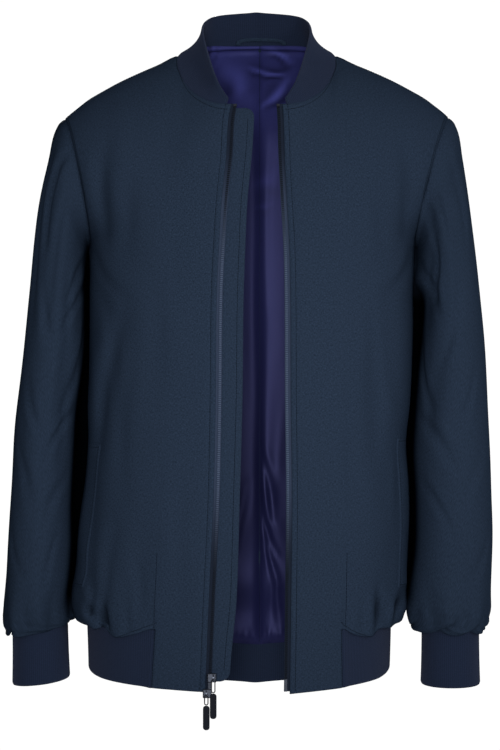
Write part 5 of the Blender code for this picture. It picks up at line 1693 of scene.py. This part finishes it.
def strip(front, side, low, high, outs, backs):
    """Rows of points along a front's zip edge: outs go towards the side seam, backs into the jacket."""
    edge, inner = front.points[:, 0], front.points[:, 3]
    keep = (edge[:, 2] > low) & (edge[:, 2] < high)
    heights = np.concatenate(([low], edge[keep, 2], [high]))
    at = interpolated(heights, edge[:, 2], edge)
    way = interpolated(heights, edge[:, 2], inner) - at
    way /= np.linalg.norm(way, axis=1, keepdims=True)
    rows = []
    for out, back in zip(outs, backs):
        step = way * out if out > 0 else np.array([[side * out, 0, 0]]) + 0 * way
        rows.append(at + step + (0, back, 0))
    return np.stack(rows, axis=1)


BEHIND = np.array([0, 200.0, 0])      # what faces the front stands away from this point
TOOTH_PITCH, TOOTH_THICK = 2.3, 0.78
TOOTH_RINGS = ((-0.5, 0.55), (-0.38, 1.0), (0.2, 0.9), (0.42, 1.05), (0.5, 0.6))


# Points across the tape, as distances from the front's edge towards the side seam.
TAPE_ACROSS = (TAPE_SEWN, 5.0, 2.0, 0.0, -1.5, -3.0, -3.6, -4.8, -6.0, -TAPE_FREE)
# Painted shadow at the ends of the zip: how dark, and the heights between which it fades, at the bottom and
# the top.
TAPE_SHADE = (0.6, -600, -500, -210, -130)
TEETH_SHADE = (0.9, -620, -500, -280, -180)


# Painted shadow that darkens the zip at both its ends and leaves it light between them.
def painted_end_shadow(z, dark, low_from, low_to, high_from, high_to):
    return dark - dark * eased(z, low_from, low_to) * (1 - eased(z, high_from, high_to))


def make_zip_pieces(side, front):
    word = side_name(side)
    outs = np.array(TAPE_ACROSS)
    backs = np.interp(-outs, [-TAPE_SEWN, TAPE_FREE], [TAPE_BACK + 0.5, TAPE_BACK])
    tape = Cloth(strip(front, side, ZIP_LOW, ZIP_HIGH, outs, backs), BEHIND)
    # painted shadow at the ends of the tape
    shadow = painted_end_shadow(tape.points[..., 2], *TAPE_SHADE)
    sewn(f"tape_{word}", tape, "tape", TAPE, [f"zip_tape_{word}"], shadow=shadow)
    low, high = ZIP_LOW + CHAIN_SHORT, ZIP_HIGH - STOP_HIGH - 2 * SEAM
    line = strip(front, side, low, high, [-EDGE_TO_CHAIN], [CHAIN_BACK + CHAIN_DEEP / 2])[:, 0]
    normals = np.tile((0.0, -1.0, 0.0), (len(line), 1))
    centres, along, out = paced((line, normals), TOOTH_PITCH)
    aside = np.cross(out, along)
    points, faces = capsules(centres, aside, out, CHAIN_WIDE, TOOTH_THICK, 6, TOOTH_RINGS)
    # painted shadow at the ends of the teeth
    shadow = painted_end_shadow(points[:, 2], *TEETH_SHADE)
    piece(f"teeth_{word}", points, faces, "coil", [f"zip_chain_{word}"], shadow=shadow)


GUARD_LOW, GUARD_HIGH = -729.0, -89.0
GUARD_EDGE = (0, 0.4, 1.0, 2.0, 3.5, 5.5, 8.0)    # small cells at its two ends, for the round corners
GUARD_SEWN_SIDE = (0.0, 0.02, 0.05)    # the same at its two sides, as shares of its width
GUARD_FREE_SIDE = (0.0, 0.025, 0.06, 0.12, 0.2, 0.28, 0.36)
GUARD_CELL = 0.12
GUARD_CLEAR = 12.0                    # its unevenness dies out over this distance from its free edge
GUARD_STITCH_ROW = 7                  # its topstitch begins and ends this many rows from its corners
CORNER_ROUND = 11.0


def make_guard_cloth(front):
    edge = front.points[:, 0]
    zs = GUARD_LOW + spread(GUARD_HIGH - GUARD_LOW, CELL, GUARD_EDGE, GUARD_EDGE)
    inset = np.minimum(np.minimum(zs - GUARD_LOW, GUARD_HIGH - zs), CORNER_ROUND)
    short = CORNER_ROUND - np.sqrt(CORNER_ROUND ** 2 - (CORNER_ROUND - inset) ** 2)
    at = interpolated(zs, edge[:, 2], edge)
    free = np.array([ZIP.at(z, "guard") for z in zs]) - short
    start = strip(front, RIGHT, GUARD_LOW, GUARD_HIGH, [GUARD_SEWN], [GUARD_BACK])[:, 0]
    start = interpolated(zs, start[:, 2], start)
    rows = [start, (start + at + (0, GUARD_BACK, 0)) / 2]
    for k in spread(1.0, GUARD_CELL, GUARD_SEWN_SIDE, GUARD_FREE_SIDE):
        across = at[:, 0] + (free - at[:, 0]) * k
        rows.append(np.stack((across, at[:, 1] + GUARD_BACK + GUARD_LEAN * k, zs), axis=1))
    cloth = Cloth(np.stack(rows, axis=1), BEHIND)
    right, left = cloth.right(), cloth.left()
    push = rippled(cloth.points, "guard") * fading(left, over=GUARD_CLEAR)
    push = push + turned(right, cloth.up, cloth.top()) + sunk(right, GUARD_STITCH, GUARD_GROOVE)
    cloth = cloth.pushed(push)
    sewn("cloth_guard", cloth, "wool", CLOTH, ["zip_guard"])
    last = len(zs) - 1 - GUARD_STITCH_ROW
    stitched("stitch_guard", [cloth.upright(GUARD_STITCH_ROW, last, -GUARD_STITCH, -cloth.right())])


WELT_PROUD = 1.1                      # the welts' outer side stands this far over the front
# The welts on the dressed fronts: lowest and highest edge, and how far they reach from the side seam.
WELT_PLACE = {RIGHT: (-629.0, -467.0, 66.0, 37.0), LEFT: (-629.0, -460.0, 64.0, 36.0)}
WELT_STITCH, WELT_CELL = 3.0, 3.5


def make_welt_cloth(side, front, foot):
    """A welt laid on the dressed front, beside the side seam."""
    word = side_name(side)
    low, high, inner, outer = WELT_PLACE[side]
    widths = spread(inner - outer, WELT_CELL)[::-1] + outer
    columns = front.points.shape[1] - 1
    z = front.points[foot:, columns // 2 + columns // 3, 2]
    distance = front.right()[foot:]
    points, normals = [], []
    for height in low + spread(high - low, CELL):
        row = np.interp(height, z, np.arange(len(z)))
        column = np.interp(-widths, -distance[int(row)], np.arange(columns + 1))
        p, n = front.at(np.full(len(widths), row + foot), column)
        points.append(p)
        normals.append(n)
    grid = np.array(points) + np.array(normals) * WELT_PROUD
    cloth = Cloth(grid, axis_at(grid))
    push = turned(cloth.up, cloth.top(), cloth.left(), cloth.right(), deep=0.5) + rippled(grid, "welt")
    cloth = cloth.pushed(push)
    sewn(f"cloth_welt_{word}", cloth, "wool", WELT_WALL, [f"welt_{word}"])
    last = grid.shape[1] - 3
    stitched(f"stitch_welt_{word}", [
        cloth.upright(2, len(grid) - 3, WELT_STITCH),
        cloth.level(2, last, WELT_STITCH),
        cloth.level(2, last, -WELT_STITCH, -cloth.top()),
    ])


LOOP_ROWS = (0, 0.12, 0.3, 0.5, 0.7, 0.88, 1)


def loop_line(narrower):
    """One edge of the hanger loop, on the inside of the collar."""
    line = []
    for k in range(LOOP_STEPS + 1):
        t = math.pi * k / LOOP_STEPS
        x = LOOP_X + math.copysign(abs(math.cos(t)) ** LOOP_SQUARE, -math.cos(t)) * (LOOP_HALF - narrower)
        rise = (LOOP_FOOT + math.sin(t) ** LOOP_SQUARE * (LOOP_TOP - narrower)) / NECK.at(1, "top_z")
        wall = collar_point(RIGHT if x < 0 else LEFT, 1 - abs(x) * TURN_BY_X, rise)
        line.append((x, wall.y - RIB - LOOP_GAP, wall.z))
    return np.array(line)


def make_loop_cloth():
    inner, outer = loop_line(LOOP_WIDE), loop_line(0)
    cloth = Cloth(np.stack([inner * (1 - k) + outer * k for k in LOOP_ROWS]), BEHIND)
    cloth = cloth.pushed(turned(cloth.up, cloth.top(), deep=0.35, over=0.7))
    sewn("cloth_loop", cloth, "wool", LOOP_WALL, ["hanger_loop"])


# ---------------------------------------------------------------------------------------------------
# Camera, light and floor
# ---------------------------------------------------------------------------------------------------

CAMERA_PLACE = (-0.0075, -3.0, -0.388)
CAMERA_LENS = 124.66
FLOOR_Z, FLOOR_RADIUS, FLOOR_SIDES = -1.10, 1.6, 96


def make_camera():
    data = bpy.data.cameras.new("camera")
    data.sensor_width = 36.0
    data.lens = CAMERA_LENS
    data.clip_start, data.clip_end = 0.1, 50.0
    made = bpy.data.objects.new("camera", data)
    made.location = CAMERA_PLACE
    made.rotation_euler = (math.pi / 2, 0, 0)
    bpy.context.scene.collection.objects.link(made)
    bpy.context.scene.camera = made


# Soft lights: place, the point each looks at, radius, cone in degrees and power.
LIGHTS = (
    ("front", (-0.10, -3.4, -0.20), (0, 0, -0.38), 0.36, 26.0, 252.0),
    ("key", (1.9, -2.5, 0.35), (0.02, 0, -0.36), 0.45, 26.0, 93.0),
    ("back", (-0.5, 3.0, 0.6), (0, 0, -0.38), 0.5, 34.0, 260.0),
)
WORLD_LOW, WORLD_HIGH = 0.40, 1.05    # the studio's brightness all round, and behind the jacket
WORLD_DARK = 0.30                     # share of it that is left on the wearer's right
DARK_FROM, DARK_TO = -0.9, 0.1        # cosines of the angles from +X over which it comes back
GLOW_FROM, GLOW_TO = 0.972, 0.984     # cosines of the angles from +Y over which it grows


def make_world():
    """Even pale light from all round, brightest behind the jacket so that its outline stands on white."""
    world = bpy.data.worlds.new("studio")
    world.use_nodes = True
    tree = world.node_tree
    place = tree.nodes.new("ShaderNodeTexCoord")
    split = tree.nodes.new("ShaderNodeSeparateXYZ")
    tree.links.new(place.outputs["Generated"], split.inputs[0])
    ramps = []
    for axis, values in (("X", (DARK_FROM, DARK_TO, WORLD_DARK * WORLD_LOW, WORLD_LOW)),
                         ("Y", (GLOW_FROM, GLOW_TO, 0, WORLD_HIGH))):
        ramp = tree.nodes.new("ShaderNodeMapRange")
        ramp.interpolation_type = "SMOOTHSTEP"
        for key, value in zip(("From Min", "From Max", "To Min", "To Max"), values):
            ramp.inputs[key].default_value = value
        tree.links.new(split.outputs[axis], ramp.inputs["Value"])
        ramps.append(ramp.outputs[0])
    most = tree.nodes.new("ShaderNodeMath")
    most.operation = "MAXIMUM"
    for k, ramp in enumerate(ramps):
        tree.links.new(ramp, most.inputs[k])
    tree.links.new(most.outputs[0], tree.nodes["Background"].inputs["Strength"])
    tree.nodes["Background"].inputs["Color"].default_value = (1, 1, 1, 1)
    bpy.context.scene.world = world


def make_light():
    for name, place, target, radius, cone, power in LIGHTS:
        data = bpy.data.lights.new(f"light_{name}", "SPOT")
        data.shadow_soft_size = radius
        data.spot_size = math.radians(cone)
        data.spot_blend = 1.0
        data.energy = power
        made = bpy.data.objects.new(f"light_{name}", data)
        made.location = place
        made.rotation_euler = (Vector(target) - Vector(place)).to_track_quat("-Z", "Y").to_euler()
        bpy.context.scene.collection.objects.link(made)


def make_floor():
    """A round pale floor under the jacket, below what the camera sees."""
    turn = [2 * math.pi * k / FLOOR_SIDES for k in range(FLOOR_SIDES)]
    mesh = bpy.data.meshes.new("studio_floor")
    mesh.from_pydata([(FLOOR_RADIUS * math.cos(a), FLOOR_RADIUS * math.sin(a), FLOOR_Z) for a in turn], [],
                     [tuple(range(FLOOR_SIDES))])
    mesh.materials.append(Finish("pale_paper", 0.9, Base_Color=(0.9, 0.9, 0.9, 1)).material)
    floor = bpy.data.objects.new("studio_floor", mesh)
    bpy.context.scene.collection.objects.link(floor)


HARD = {
    "metal": ("slider_upper", "slider_lower", "pull_upper_link", "pull_lower_link", "zip_top_stop_right",
              "zip_top_stop_left", "zip_box", "zip_pin"),
    "tab": ("pull_upper_tab", "pull_lower_tab"),
}


def finish_nodes(nodes):
    """The hard pieces keep their CAD shape and get their finish."""
    for slot, names in HARD.items():
        for name in names:
            nodes[name].data.materials.clear()
            nodes[name].data.materials.append(FINISH[slot])


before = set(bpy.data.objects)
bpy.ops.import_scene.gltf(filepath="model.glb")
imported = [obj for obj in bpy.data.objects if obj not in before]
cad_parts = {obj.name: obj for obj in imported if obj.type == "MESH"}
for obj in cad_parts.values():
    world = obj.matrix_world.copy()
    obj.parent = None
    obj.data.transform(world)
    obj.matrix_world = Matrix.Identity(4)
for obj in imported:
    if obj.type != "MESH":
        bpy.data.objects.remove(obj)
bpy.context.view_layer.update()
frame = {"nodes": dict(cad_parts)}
make_camera()
make_world()
make_light()
make_floor()
bpy.context.scene.view_settings.view_transform = "Standard"
for side in (RIGHT, LEFT):
    plain, dressed, foot = make_front_piece(side)
    make_zip_pieces(side, plain)
    make_welt_cloth(side, dressed, foot)
    if side == RIGHT:
        make_guard_cloth(plain)
    make_sleeve_cloth(side)
    make_cuff_cloth(side)
    make_lining_cloth(side)
make_back_cloth()
make_hem_cloth()
make_collar_cloth()
make_loop_cloth()
finish_nodes(frame["nodes"])
